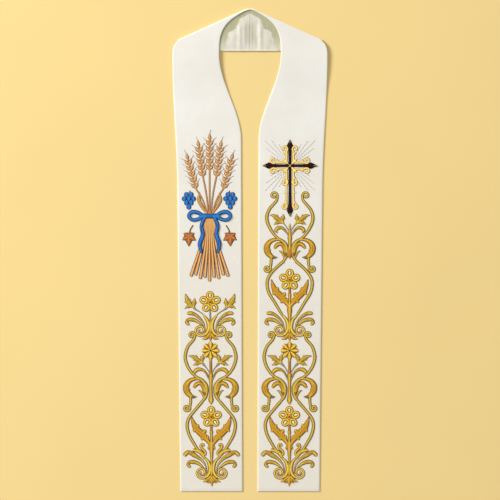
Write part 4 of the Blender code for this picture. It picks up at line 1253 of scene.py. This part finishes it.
def lines_of(strokes, base_z, wave):
    """Stitched strokes and what lies on them, each point on the cloth under it."""
    lines = Lines()
    for order, (thread, path) in enumerate(strokes):
        lift = (THREADS[thread].lift + order % ORDER_TURN * ORDER_STEP) * MM

        def under(p):
            return base_z + lift + cloth_wave(abs(p.x) * MM, p.y * MM, wave)

        whole = path if thread in RINGS else capped(path)
        bases, heights = [under(p) for p in whole], [stitch_height(p.z) for p in whole]
        lines.add(thread, whole, bases, heights)
        for name, part, widths in overlays(thread, path):
            sunk = (stitch_height(width) * OVERLAY_SUNK for width in widths)
            bases = [under(p) + height for p, height in zip(part, sunk)]
            lines.add(name, part, bases, [OVERLAY_HEIGHT * MM] * len(part))
    return lines


class Nodes:
    """Adds nodes to a tree. An input is a value, or another node's output to link."""

    def __init__(self, tree):
        self.tree = tree

    def fill(self, node, inputs):
        """Links or sets inputs of a node."""
        for key, value in inputs.items():
            if isinstance(value, bpy.types.NodeSocket):
                self.tree.links.new(value, node.inputs[key])
            else:
                node.inputs[key].default_value = value

    def add(self, kind, inputs=None, **settings):
        node = self.tree.nodes.new(kind)
        for name, value in settings.items():
            setattr(node, name, value)
        self.fill(node, inputs or {})
        return node

    def out(self, kind, inputs=None, **settings):
        """The first output of a new node."""
        return self.add(kind, inputs, **settings).outputs[0]

    def math(self, operation, *values):
        return self.out("ShaderNodeMath", dict(enumerate(values)), operation=operation)

    def vector(self, operation, *values):
        return self.out("ShaderNodeVectorMath", dict(enumerate(values)), operation=operation)

    def scaled(self, vector, scale):
        return self.out("ShaderNodeVectorMath", {0: vector, "Scale": scale}, operation="SCALE")

    def step(self, value, low, high, to_low=0.0, to_high=1.0):
        """A smooth step of a value between two others."""
        inputs = {0: value, 1: low, 2: high, 3: to_low, 4: to_high}
        return self.out("ShaderNodeMapRange", inputs, interpolation_type="SMOOTHSTEP")

    def blend(self, factor, a, b, blend_type="MIX"):
        inputs = {0: factor, 6: a, 7: b}
        return self.add("ShaderNodeMix", inputs, data_type="RGBA", blend_type=blend_type).outputs[2]

    def noise(self, vector, scale, detail=2.0, roughness=0.5):
        inputs = {"Vector": vector, "Scale": scale, "Detail": detail, "Roughness": roughness}
        return self.out("ShaderNodeTexNoise", inputs)

    def join(self, x, y, z):
        return self.out("ShaderNodeCombineXYZ", {0: x, 1: y, 2: z})

    def split(self, vector):
        return self.add("ShaderNodeSeparateXYZ", {0: vector}).outputs

    def grey(self, value):
        return self.out("ShaderNodeCombineColor", {0: value, 1: value, 2: value})

    def place(self):
        """Object coordinates, in metres on the stole."""
        return self.add("ShaderNodeTexCoord").outputs["Object"]

    def read(self, attribute, output="Fac"):
        return self.add("ShaderNodeAttribute", attribute_name=attribute).outputs[output]

    def bump(self, height, distance, strength, below=None):
        inputs = {"Height": height, "Distance": distance, "Strength": strength}
        if below:
            inputs["Normal"] = below
        return self.out("ShaderNodeBump", inputs)

    def group(self, build, inputs):
        """A shader group, built once, as a node."""
        tree = bpy.data.node_groups.get(build.__name__) or build()
        return self.add("ShaderNodeGroup", inputs, node_tree=tree).outputs


def new_group(name, tree_type, inputs, outputs):
    """A node group with named sockets: its tree, its nodes and what it is given."""
    tree = bpy.data.node_groups.new(name, tree_type)
    for direction, sockets in (("INPUT", inputs), ("OUTPUT", outputs)):
        for label, kind in sockets.items():
            tree.interface.new_socket(name=label, in_out=direction, socket_type=f"NodeSocket{kind}")
    nodes = Nodes(tree)
    return tree, nodes, nodes.add("NodeGroupInput").outputs


def raised_stitches():
    """Geometry Nodes that turn lines with a width at each point into raised stitches."""
    tree, nodes, given = new_group(
        "raised_stitches",
        "GeometryNodeTree",
        {"Lines": "Geometry", "Points Across": "Int", "Fullness": "Float", "Thread": "Material"},
        {"Stitches": "Geometry"},
    )
    defaults = {"Points Across": POINTS_ACROSS, "Fullness": FULLNESS}
    for socket in tree.interface.items_tree:
        if socket.name in defaults:
            socket.default_value = defaults[socket.name]

    def keep(geometry, name, value, data_type):
        inputs = {"Geometry": geometry, "Name": name, "Value": value}
        settings = {"data_type": data_type, "domain": "POINT"}
        return nodes.out("GeometryNodeStoreNamedAttribute", inputs, **settings)

    def named(name, data_type="FLOAT"):
        return nodes.out("GeometryNodeInputNamedAttribute", {"Name": name}, data_type=data_type)

    position = nodes.out("GeometryNodeInputPosition")
    tangent = nodes.out("GeometryNodeInputTangent")
    distance = nodes.add("GeometryNodeSplineParameter").outputs["Length"]
    curve = nodes.out("GeometryNodeMeshToCurve", {0: given["Lines"]})
    curve = keep(curve, "centre", position, "FLOAT_VECTOR")
    curve = keep(curve, "run", tangent, "FLOAT_VECTOR")
    curve = keep(curve, "along", distance, "FLOAT")
    line = nodes.out("GeometryNodeCurvePrimitiveLine", {"Start": (-1, 0, 0), "End": (1, 0, 0)})
    counted = {"Curve": line, "Count": given["Points Across"]}
    line = nodes.out("GeometryNodeResampleCurve", counted)
    line = keep(line, "across", nodes.split(position)[0], "FLOAT")
    line = nodes.out("GeometryNodeSetSplineCyclic", {0: line, "Cyclic": True})
    swept = {"Curve": curve, "Profile Curve": line, "Fill Caps": True}
    tube = nodes.out("GeometryNodeCurveToMesh", swept)
    across, width = named("across"), named("half_width")
    run = nodes.split(named("run", "FLOAT_VECTOR"))
    side = nodes.join(nodes.math("MULTIPLY", run[1], -1.0), run[0], 0.0)
    offset = nodes.scaled(side, nodes.math("MULTIPLY", across, width))
    spot = nodes.split(nodes.vector("ADD", named("centre", "FLOAT_VECTOR"), offset))
    falling = nodes.math("POWER", nodes.math("ABSOLUTE", across), given["Fullness"])
    left = nodes.math("MAXIMUM", nodes.math("SUBTRACT", 1.0, falling), 0.0)
    height = nodes.math("MULTIPLY", nodes.math("POWER", left, DOME_POWER), named("stitch_height"))
    target = nodes.join(spot[0], spot[1], nodes.math("ADD", named("base_z"), height))
    raised = nodes.out("GeometryNodeSetPosition", {"Geometry": tube, "Position": target})
    smooth_shaded = nodes.out("GeometryNodeSetShadeSmooth", {"Geometry": raised})
    real = nodes.out("GeometryNodeRealizeInstances", {"Geometry": smooth_shaded})
    dressed = {"Geometry": real, "Material": given["Thread"]}
    nodes.add("NodeGroupOutput", {0: nodes.out("GeometryNodeSetMaterial", dressed)})
    return tree


def stitched(name, strokes, material, sizes, base_z=STITCH_Z):
    """One piece of raised stitches, as a plain mesh."""
    tree = bpy.data.node_groups.get("raised_stitches") or raised_stitches()
    lines = lines_of(strokes, base_z, sizes.wave_height)
    draft = bpy.data.objects.new(f"{name}_lines", lines.mesh(f"{name}_lines"))
    bpy.context.scene.collection.objects.link(draft)
    modifier = draft.modifiers.new("stitches", "NODES")
    modifier.node_group = tree
    chosen = {"Points Across": sizes.points_across, "Fullness": sizes.fullness, "Thread": material}
    for socket in tree.interface.items_tree:
        if socket.item_type == "SOCKET" and socket.in_out == "INPUT" and socket.name in chosen:
            modifier[socket.identifier] = chosen[socket.name]
    seen = draft.evaluated_get(bpy.context.evaluated_depsgraph_get())
    mesh = bpy.data.meshes.new_from_object(seen)
    bpy.data.objects.remove(draft)
    if not mesh.polygons:
        raise RuntimeError(f"{name}: no stitches were made")
    bm = bmesh.new()
    bm.from_mesh(mesh)
    bpy.data.meshes.remove(mesh)
    return finished_mesh(name, bm, material)


def plain_weave():
    """Shader group: height and shade of a fine plain weave in the XY plane."""
    sockets = {"Place": "Vector", "Threads per Metre": "Float"}
    results = {"Height": "Float", "Shade": "Float"}
    tree, nodes, given = new_group("plain_weave", "ShaderNodeTree", sockets, results)
    turns = nodes.math("MULTIPLY", given["Threads per Metre"], math.pi)
    xyz = nodes.split(nodes.scaled(given["Place"], turns))
    slub = nodes.noise(given["Place"], *SLUB_NOISE)
    warp = nodes.math("SINE", nodes.math("ADD", xyz[0], slub))
    weft = nodes.math("SINE", nodes.math("ADD", xyz[1], slub))
    height = nodes.math("MULTIPLY_ADD", nodes.math("MULTIPLY", warp, weft), 0.5, 0.5)
    shade = nodes.math("MULTIPLY_ADD", nodes.noise(given["Place"], *YARN_NOISE), *YARN_SHADE)
    nodes.add("NodeGroupOutput", {0: height, 1: shade})
    return tree


def satin_stitch():
    """Shader group: colour, height and roughness of satin stitch across and along a stroke, with a
    painted highlight down its middle and painted light and shade across each stitch.
    """
    sockets = dict.fromkeys(("Across", "Along", "Half Width", "Outline", "Pitch"), "Float")
    sockets |= dict.fromkeys(("Body", "Edge", "Middle"), "Color")
    results = {"Colour": "Color", "Height": "Float", "Roughness": "Float"}
    tree, nodes, given = new_group("satin_stitch", "ShaderNodeTree", sockets, results)
    half = nodes.math("MULTIPLY", given["Half Width"], 1 / MM)
    along_mm = nodes.math("MULTIPLY", given["Along"], 1 / MM)
    off = nodes.math("ABSOLUTE", given["Across"])
    inward = nodes.math("MULTIPLY", half, nodes.math("SUBTRACT", 1.0, off))
    rim = nodes.math("MINIMUM", given["Outline"], nodes.math("MULTIPLY", half, RIM_MOST))
    inner = nodes.step(inward, *(nodes.math("MULTIPLY", rim, share) for share in RIM_BLUR))
    # The middle of a stroke is painted lighter, as a highlight on its crest
    painted_highlight = nodes.step(off, *PAINTED_HIGHLIGHT_BLUR, 1.0, 0.0)
    aside = nodes.math("MULTIPLY", given["Across"], half)
    lean = nodes.math("MULTIPLY_ADD", aside, STITCH_LEAN, along_mm)
    turns = nodes.math("DIVIDE", lean, given["Pitch"])
    strand = nodes.join(turns, nodes.math("MULTIPLY", aside, STRAND_STRETCH), 0.0)
    uneven = nodes.noise(strand, *STRAND_NOISE)
    broad = nodes.noise(nodes.join(along_mm, aside, 0.0), *BROAD_NOISE)
    wander = nodes.math("MULTIPLY", uneven, STRAND_WANDER)
    wave = nodes.math("SINE", nodes.math("MULTIPLY_ADD", turns, 2 * math.pi, wander))
    ridge = nodes.math("MULTIPLY_ADD", wave, *RIDGE)
    fuzz = nodes.math("MULTIPLY", uneven, STRAND_HEIGHT)
    height = nodes.math("ADD", nodes.math("MULTIPLY", ridge, RIDGE_HEIGHT), fuzz)
    shade = nodes.math("MULTIPLY_ADD", uneven, *STRAND_SHADE)
    shade = nodes.math("ADD", shade, nodes.math("MULTIPLY", broad, BROAD_SHADE))
    # Painted light on the stitch crests and painted shade in the grooves
    shade = nodes.math("MULTIPLY", shade, nodes.math("MULTIPLY_ADD", ridge, *RIDGE_PAINTED_LIGHT))
    filled = nodes.blend(painted_highlight, given["Body"], given["Middle"])
    whole = nodes.blend(inner, given["Edge"], filled)
    colour = nodes.blend(1.0, whole, nodes.grey(shade), "MULTIPLY")
    rough = nodes.math("MULTIPLY_ADD", uneven, *STITCH_ROUGHNESS)
    nodes.add("NodeGroupOutput", {0: colour, 1: height, 2: rough})
    return tree


def new_material(name):
    material = bpy.data.materials.new(name)
    material.use_nodes = True
    return material, Nodes(material.node_tree), material.node_tree.nodes["Principled BSDF"]


def thread_material(name, sizes, roughness_shift=0.0, gloss=0.32, sheen=0.05):
    """Satin-stitch thread that takes its colours from the stroke, a painted highlight down its
    middle among them.
    """
    material, nodes, shader = new_material(name)
    stitch = nodes.group(satin_stitch, {
        "Across": nodes.read("across"),
        "Along": nodes.read("along"),
        "Half Width": nodes.read("half_width"),
        "Outline": nodes.read("outline"),
        "Pitch": sizes.stitch_pitch / MM,
        "Body": nodes.read("body", "Color"),
        "Edge": nodes.read("edge", "Color"),
        "Middle": nodes.read("middle", "Color"),
    })
    nodes.fill(shader, {
        "Base Color": stitch["Colour"],
        "Roughness": nodes.math("ADD", stitch["Roughness"], roughness_shift),
        "Normal": nodes.bump(stitch["Height"], *STITCH_BUMP),
        "Specular IOR Level": gloss,
        "Sheen Weight": sheen,
        "Sheen Roughness": THREAD_SHEEN_ROUGHNESS,
    })
    return material


def face_cloth(sizes):
    """Ivory face cloth: fine weave, faint uneven dye, a slightly darker, warmer tint towards the
    hems, and soft sheen.
    """
    material, nodes, shader = new_material("ivory_face_cloth")
    place = nodes.place()
    weave = nodes.group(plain_weave, {"Place": place, "Threads per Metre": 1 / sizes.weave_pitch})
    cloud = nodes.step(nodes.noise(place, *CLOUD_NOISE), *CLOUD_BLUR)
    ivory = nodes.blend(cloud, *(linear(colour) for colour in IVORY))
    high = nodes.step(nodes.split(place)[1], *IVORY_LOW_ENDS)
    dyed = nodes.blend(high, linear(IVORY_LOW), ivory)
    soft = nodes.bump(nodes.noise(place, *SOFT_NOISE), *SOFT_BUMP)
    rough = nodes.math("MULTIPLY_ADD", nodes.noise(place, ROUGHNESS_SCALE), *CLOTH_ROUGHNESS)
    sheen, sheen_roughness = CLOTH_SHEEN
    nodes.fill(shader, {
        "Base Color": nodes.blend(1.0, dyed, nodes.grey(weave["Shade"]), "MULTIPLY"),
        "Roughness": rough,
        "Normal": nodes.bump(weave["Height"], *WEAVE_BUMP, soft),
        "Sheen Weight": sheen,
        "Sheen Roughness": sheen_roughness,
    })
    return material


def lining_satin():
    """Pale damask satin: streaks down the cloth painted as light and shade on fine folds, a rim
    painted darker and greener as shade cast by the front, painted highlights on the high folds and
    along the lower edge, and a darker middle.
    """
    material, nodes, shader = new_material("neck_lining_satin")
    place = nodes.place()
    spot = nodes.split(place)
    aside, above = nodes.math("ABSOLUTE", spot[0]), nodes.math("SUBTRACT", spot[1], BACK_EDGE_Y)

    def fade(distance, reach, *ends):
        return nodes.step(distance, *(mm * MM for mm in reach), *ends)

    def streaked(stretch, *noise_values):
        return nodes.noise(nodes.vector("MULTIPLY", place, stretch), *noise_values)

    # Outside a ragged border, the rim is painted darker as shade cast by the front
    ragged = nodes.math("MULTIPLY_ADD", nodes.noise(place, *RAGGED_NOISE), *RAGGED)
    light = nodes.step(nodes.math("ADD", nodes.read("outside_painted_shade"), ragged), *RAGGED_BLUR)
    # Streaks that raise fine folds in the bump, and are painted lighter and darker on them as light
    # and shade
    streak_relief_and_painted_shading = streaked(STREAK_STRETCH, *STREAK_NOISE)
    fine = streaked(FINE_STRETCH, *FINE_NOISE)
    figure_place = nodes.vector("MULTIPLY", place, FIGURE_STRETCH)
    cells = nodes.add("ShaderNodeTexVoronoi", {"Vector": figure_place, "Scale": FIGURE_SCALE})
    damask = nodes.step(cells.outputs["Distance"], *FIGURE_BLUR)
    # Painted shade of the rim, streaked, and paler towards the lower edge
    rim = nodes.blend(streak_relief_and_painted_shading, *(linear(colour) for colour in RIM_PAINTED_SHADE))
    rim = nodes.blend(fade(above, RIM_PAINTED_SHADE_LOW_REACH, 0.0, RIM_PAINTED_SHADE_LOW_SHARE), rim, linear(RIM_PAINTED_SHADE_LOW))
    low, high = (fade(above, reach) for reach in MIDDLE_ABOVE)
    middle = nodes.math("MULTIPLY", nodes.math("MULTIPLY", fade(aside, MIDDLE_ASIDE), low), high)
    # Painted highlight on the high folds either side of the seam
    painted_rib_highlight = nodes.math("MULTIPLY", *(fade(aside, reach) for reach in RIB_ASIDE))
    inner = nodes.blend(streak_relief_and_painted_shading, *(linear(colour) for colour in INNER_PAINTED_STREAK_SHADING))
    for mask, (colour, strength) in ((damask, FIGURE), (middle, MIDDLE_SHADE), (painted_rib_highlight, RIB_PAINTED_HIGHLIGHT)):
        inner = nodes.blend(nodes.math("MULTIPLY", mask, strength), inner, linear(colour))
    # Painted highlight along the turned lower edge
    inner = nodes.blend(fade(above, EDGE_REACH), inner, linear(EDGE_PAINTED_HIGHLIGHT))
    relief = nodes.math("MULTIPLY", fine, FINE_HEIGHT)
    height = nodes.math("ADD", nodes.math("MULTIPLY", streak_relief_and_painted_shading, STREAK_HEIGHT), relief)
    nodes.fill(shader, {
        "Base Color": nodes.blend(light, rim, inner),
        "Roughness": nodes.math("MULTIPLY_ADD", damask, *SATIN_ROUGHNESS),
        "Normal": nodes.bump(height, *SATIN_BUMP),
        "Sheen Weight": SATIN_SHEEN,
    })
    return material


def length_setting(name, description, default):
    return bpy.props.FloatProperty(
        name=name, description=description, default=default, unit="LENGTH"
    )


class StoleSizes(bpy.types.PropertyGroup):
    """Sizes of the cloth and of its stitches."""

    wave_height: length_setting("Wave Height", "Height of the laid cloth's soft waves", 0.35 * MM)
    weave_pitch: length_setting("Weave Pitch", "Distance between threads of the cloth", 0.55 * MM)
    stitch_pitch: length_setting("Stitch Pitch", "Distance between satin stitches", 0.6 * MM)
    points_across: bpy.props.IntProperty(
        name="Points Across",
        description="Points across the top of each stroke",
        default=POINTS_ACROSS,
        min=5,
    )
    fullness: bpy.props.FloatProperty(
        name="Fullness",
        description="How square the top of a stroke is",
        default=FULLNESS,
        min=1.0,
    )


class StoleStage(bpy.types.PropertyGroup):
    """Floor, light and camera."""

    floor_colour: bpy.props.FloatVectorProperty(
        name="Floor Colour",
        description="Colour of the plain floor",
        default=linear(FLOOR_COLOUR)[:3],
        size=3,
        subtype="COLOR",
    )
    key_power: bpy.props.FloatProperty(
        name="Key Power",
        description="Power of the soft light at the upper left",
        default=1415.0,
        unit="POWER",
    )
    fill: bpy.props.FloatProperty(
        name="Fill",
        description="Strength of the light from all round",
        default=0.52,
    )
    camera_height: length_setting("Camera Height", "Height of the camera above the floor", 7.0)
    view_width: length_setting("View Width", "Width of the picture at the stole", 1.255)


def plain_floor(settings):
    """A plain floor just under the stole, with faint darker patches."""
    bm = bmesh.new()
    bmesh.ops.create_grid(bm, x_segments=1, y_segments=1, size=FLOOR_SIZE)
    for v in bm.verts:
        v.co.z = -FLOOR_DROP
    material, nodes, shader = new_material("plain_floor")
    tint = (*settings.floor_colour, 1.0)
    darker = (*(c * FLOOR_SHADE for c in settings.floor_colour), 1.0)
    patches = nodes.blend(nodes.noise(nodes.place(), FLOOR_PATCHES), tint, darker)
    nodes.fill(shader, {"Base Color": patches, "Roughness": FLOOR_ROUGHNESS})
    return finished_mesh("floor", bm, material)


def soft_light(scene, settings):
    """One large soft light at the upper left, and an even light from all round."""
    world = scene.world or bpy.data.worlds.new("studio")
    scene.world = world
    world.use_nodes = True
    background = world.node_tree.nodes["Background"]
    background.inputs["Color"].default_value = (1.0, 1.0, 1.0, 1.0)
    background.inputs["Strength"].default_value = settings.fill
    key = bpy.data.lights.new("key", "AREA")
    key.energy = settings.key_power
    key.size = KEY_SIZE
    lamp = bpy.data.objects.new("key", key)
    lamp.location = KEY_AT
    lamp.rotation_euler = (-Vector(KEY_AT)).to_track_quat("-Z", "Y").to_euler()
    scene.collection.objects.link(lamp)


def camera_above(scene, settings):
    """A camera that looks straight down on the stole."""
    eye = bpy.data.cameras.new("camera")
    eye.sensor_width = SENSOR
    eye.lens = SENSOR * settings.camera_height / settings.view_width
    eye.clip_end = FAR_CLIP
    camera = bpy.data.objects.new("camera", eye)
    camera.location = (0.0, VIEW_CENTRE_Y, settings.camera_height)
    scene.collection.objects.link(camera)
    scene.camera = camera


def give(piece, node):
    """The piece stands for a CAD node, whose part it hides, and rides with the one body."""
    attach(piece, "root")
    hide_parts(node)


class STOLE_OT_bands(bpy.types.Operator):
    """Two bands of ivory face cloth, folded at the shoulders"""

    bl_idname = "stole.bands"
    bl_label = "Bands"

    def execute(self, context):
        sizes = context.scene.stole_sizes
        cloth = face_cloth(sizes)
        rows = band_rows(sizes.wave_height)
        for side, hand in HANDS.items():
            band = closed_wall(f"band_cloth_{hand}", rows, side, cloth)
            give(band, f"band_{hand}")
        return {"FINISHED"}


class STOLE_OT_neck_lining(bpy.types.Operator):
    """Satin lining of the back of the neck, in two halves"""

    bl_idname = "stole.neck_lining"
    bl_label = "Neck Lining"

    def execute(self, context):
        satin = lining_satin()
        for side, hand in HANDS.items():
            piece = closed_wall(f"neck_lining_cloth_{hand}", lining_rows(), side, satin)
            # How far each point lies outside the rim's painted shade
            outside_painted_shade = [lightness_of_lining(v.co.x, v.co.y) for v in piece.data.vertices]
            point_values(piece.data, "outside_painted_shade", outside_painted_shade)
            give(piece, f"neck_lining_{hand}")
        return {"FINISHED"}


class STOLE_OT_scrolls(bpy.types.Operator):
    """Gold scroll panels of both bands"""

    bl_idname = "stole.scrolls"
    bl_label = "Scrolls"

    def execute(self, context):
        sizes = context.scene.stole_sizes
        gold = thread_material("gold_satin_stitch", sizes)
        for hand, panel in PANELS.items():
            piece = stitched(f"scroll_stitches_{hand}", panel_strokes(panel), gold, sizes)
            give(piece, f"scrolls_{hand}")
        return {"FINISHED"}


class STOLE_OT_cross(bpy.types.Operator):
    """Dark cross with gold filigree and thin rays"""

    bl_idname = "stole.cross"
    bl_label = "Cross"

    def execute(self, context):
        sizes = context.scene.stole_sizes
        dark = thread_material(
            "dark_satin_stitch", sizes, roughness_shift=0.05, gloss=0.18, sheen=0.0
        )
        cross = stitched("cross_stitches", cross_strokes(), dark, sizes)
        give(cross, "cross")
        pale = thread_material("pale_gold_stitch", sizes)
        for height, lower in (("upper", False), ("lower", True)):
            for side, hand in HANDS.items():
                strokes = moved(corner_strokes(lower), CROSS_AT, side)
                piece = stitched(f"filigree_{height}_{hand}", strokes, pale, sizes)
                give(piece, f"cross_scroll_{height}_{hand}")
        silver = thread_material("silver_grey_stitch", sizes, roughness_shift=0.1)
        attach(stitched("ray_stitches", ray_strokes(), silver, sizes), "root")
        return {"FINISHED"}


class STOLE_OT_sheaf(bpy.types.Operator):
    """Wheat sheaf tied with a ribbon, with grapes and vine leaves"""

    bl_idname = "stole.sheaf"
    bl_label = "Wheat Sheaf"

    def execute(self, context):
        sizes = context.scene.stole_sizes
        tan = thread_material("tan_satin_stitch", sizes)
        blue = thread_material("blue_satin_stitch", sizes)
        brown = thread_material("brown_satin_stitch", sizes)
        sheaf = moved(sheaf_strokes(), SHEAF_AT)
        give(stitched("wheat_stitches", sheaf, tan, sizes), "wheat_sheaf")
        tie = moved(ribbon_strokes(), SHEAF_AT)
        ribbon = stitched("ribbon_stitches", tie, blue, sizes, RIBBON_LOW.z - RIBBON_SUNK)
        give(ribbon, "ribbon_tie")
        for side, hand in HANDS.items():
            bunch = moved(grape_strokes(), SHEAF_AT, side)
            grapes = stitched(f"grape_stitches_{hand}", bunch, blue, sizes)
            give(grapes, f"grapes_{hand}")
            lobes = moved(vine_leaf_strokes(), SHEAF_AT, side)
            leaf = stitched(f"vine_stitches_{hand}", lobes, brown, sizes)
            give(leaf, f"vine_leaf_{hand}")
        return {"FINISHED"}


class STOLE_OT_declare(bpy.types.Operator):
    """Does nothing and returns at once"""

    bl_idname = "stole.declare"
    bl_label = "Flat Cuts"

    def execute(self, context):
        return {"FINISHED"}


class STOLE_OT_stage(bpy.types.Operator):
    """Plain floor, soft light and a camera straight above"""

    bl_idname = "stole.stage"
    bl_label = "Stage"

    def execute(self, context):
        scene = context.scene
        floor = plain_floor(scene.stole_stage)
        soft_light(scene, scene.stole_stage)
        camera_above(scene, scene.stole_stage)
        scene.view_settings.view_transform = "Standard"
        return {"FINISHED"}


class STOLE_PT_parts(bpy.types.Panel):
    """Sidebar panel with the stole's parts"""

    bl_idname = "STOLE_PT_parts"
    bl_label = "Clerical Stole"
    bl_space_type = "VIEW_3D"
    bl_region_type = "UI"
    bl_category = "Stole"

    def draw(self, context):
        for settings in (context.scene.stole_sizes, context.scene.stole_stage):
            for name in settings.__annotations__:
                self.layout.prop(settings, name)
        for operator in OPERATORS:
            self.layout.operator(operator.bl_idname)


OPERATORS = (
    STOLE_OT_bands,
    STOLE_OT_neck_lining,
    STOLE_OT_scrolls,
    STOLE_OT_cross,
    STOLE_OT_sheaf,
    STOLE_OT_declare,
    STOLE_OT_stage,
)
CLASSES = (StoleSizes, StoleStage, *OPERATORS, STOLE_PT_parts)


def register():
    for item in CLASSES:
        bpy.utils.register_class(item)
    bpy.types.Scene.stole_sizes = bpy.props.PointerProperty(type=StoleSizes)
    bpy.types.Scene.stole_stage = bpy.props.PointerProperty(type=StoleStage)


def unregister():
    del bpy.types.Scene.stole_stage
    del bpy.types.Scene.stole_sizes
    for item in reversed(CLASSES):
        bpy.utils.unregister_class(item)


def main():
    register()
    for operator in OPERATORS:
        name = operator.bl_idname.split(".")[1]
        getattr(bpy.ops.stole, name)()


if __name__ == "__main__":
    main()
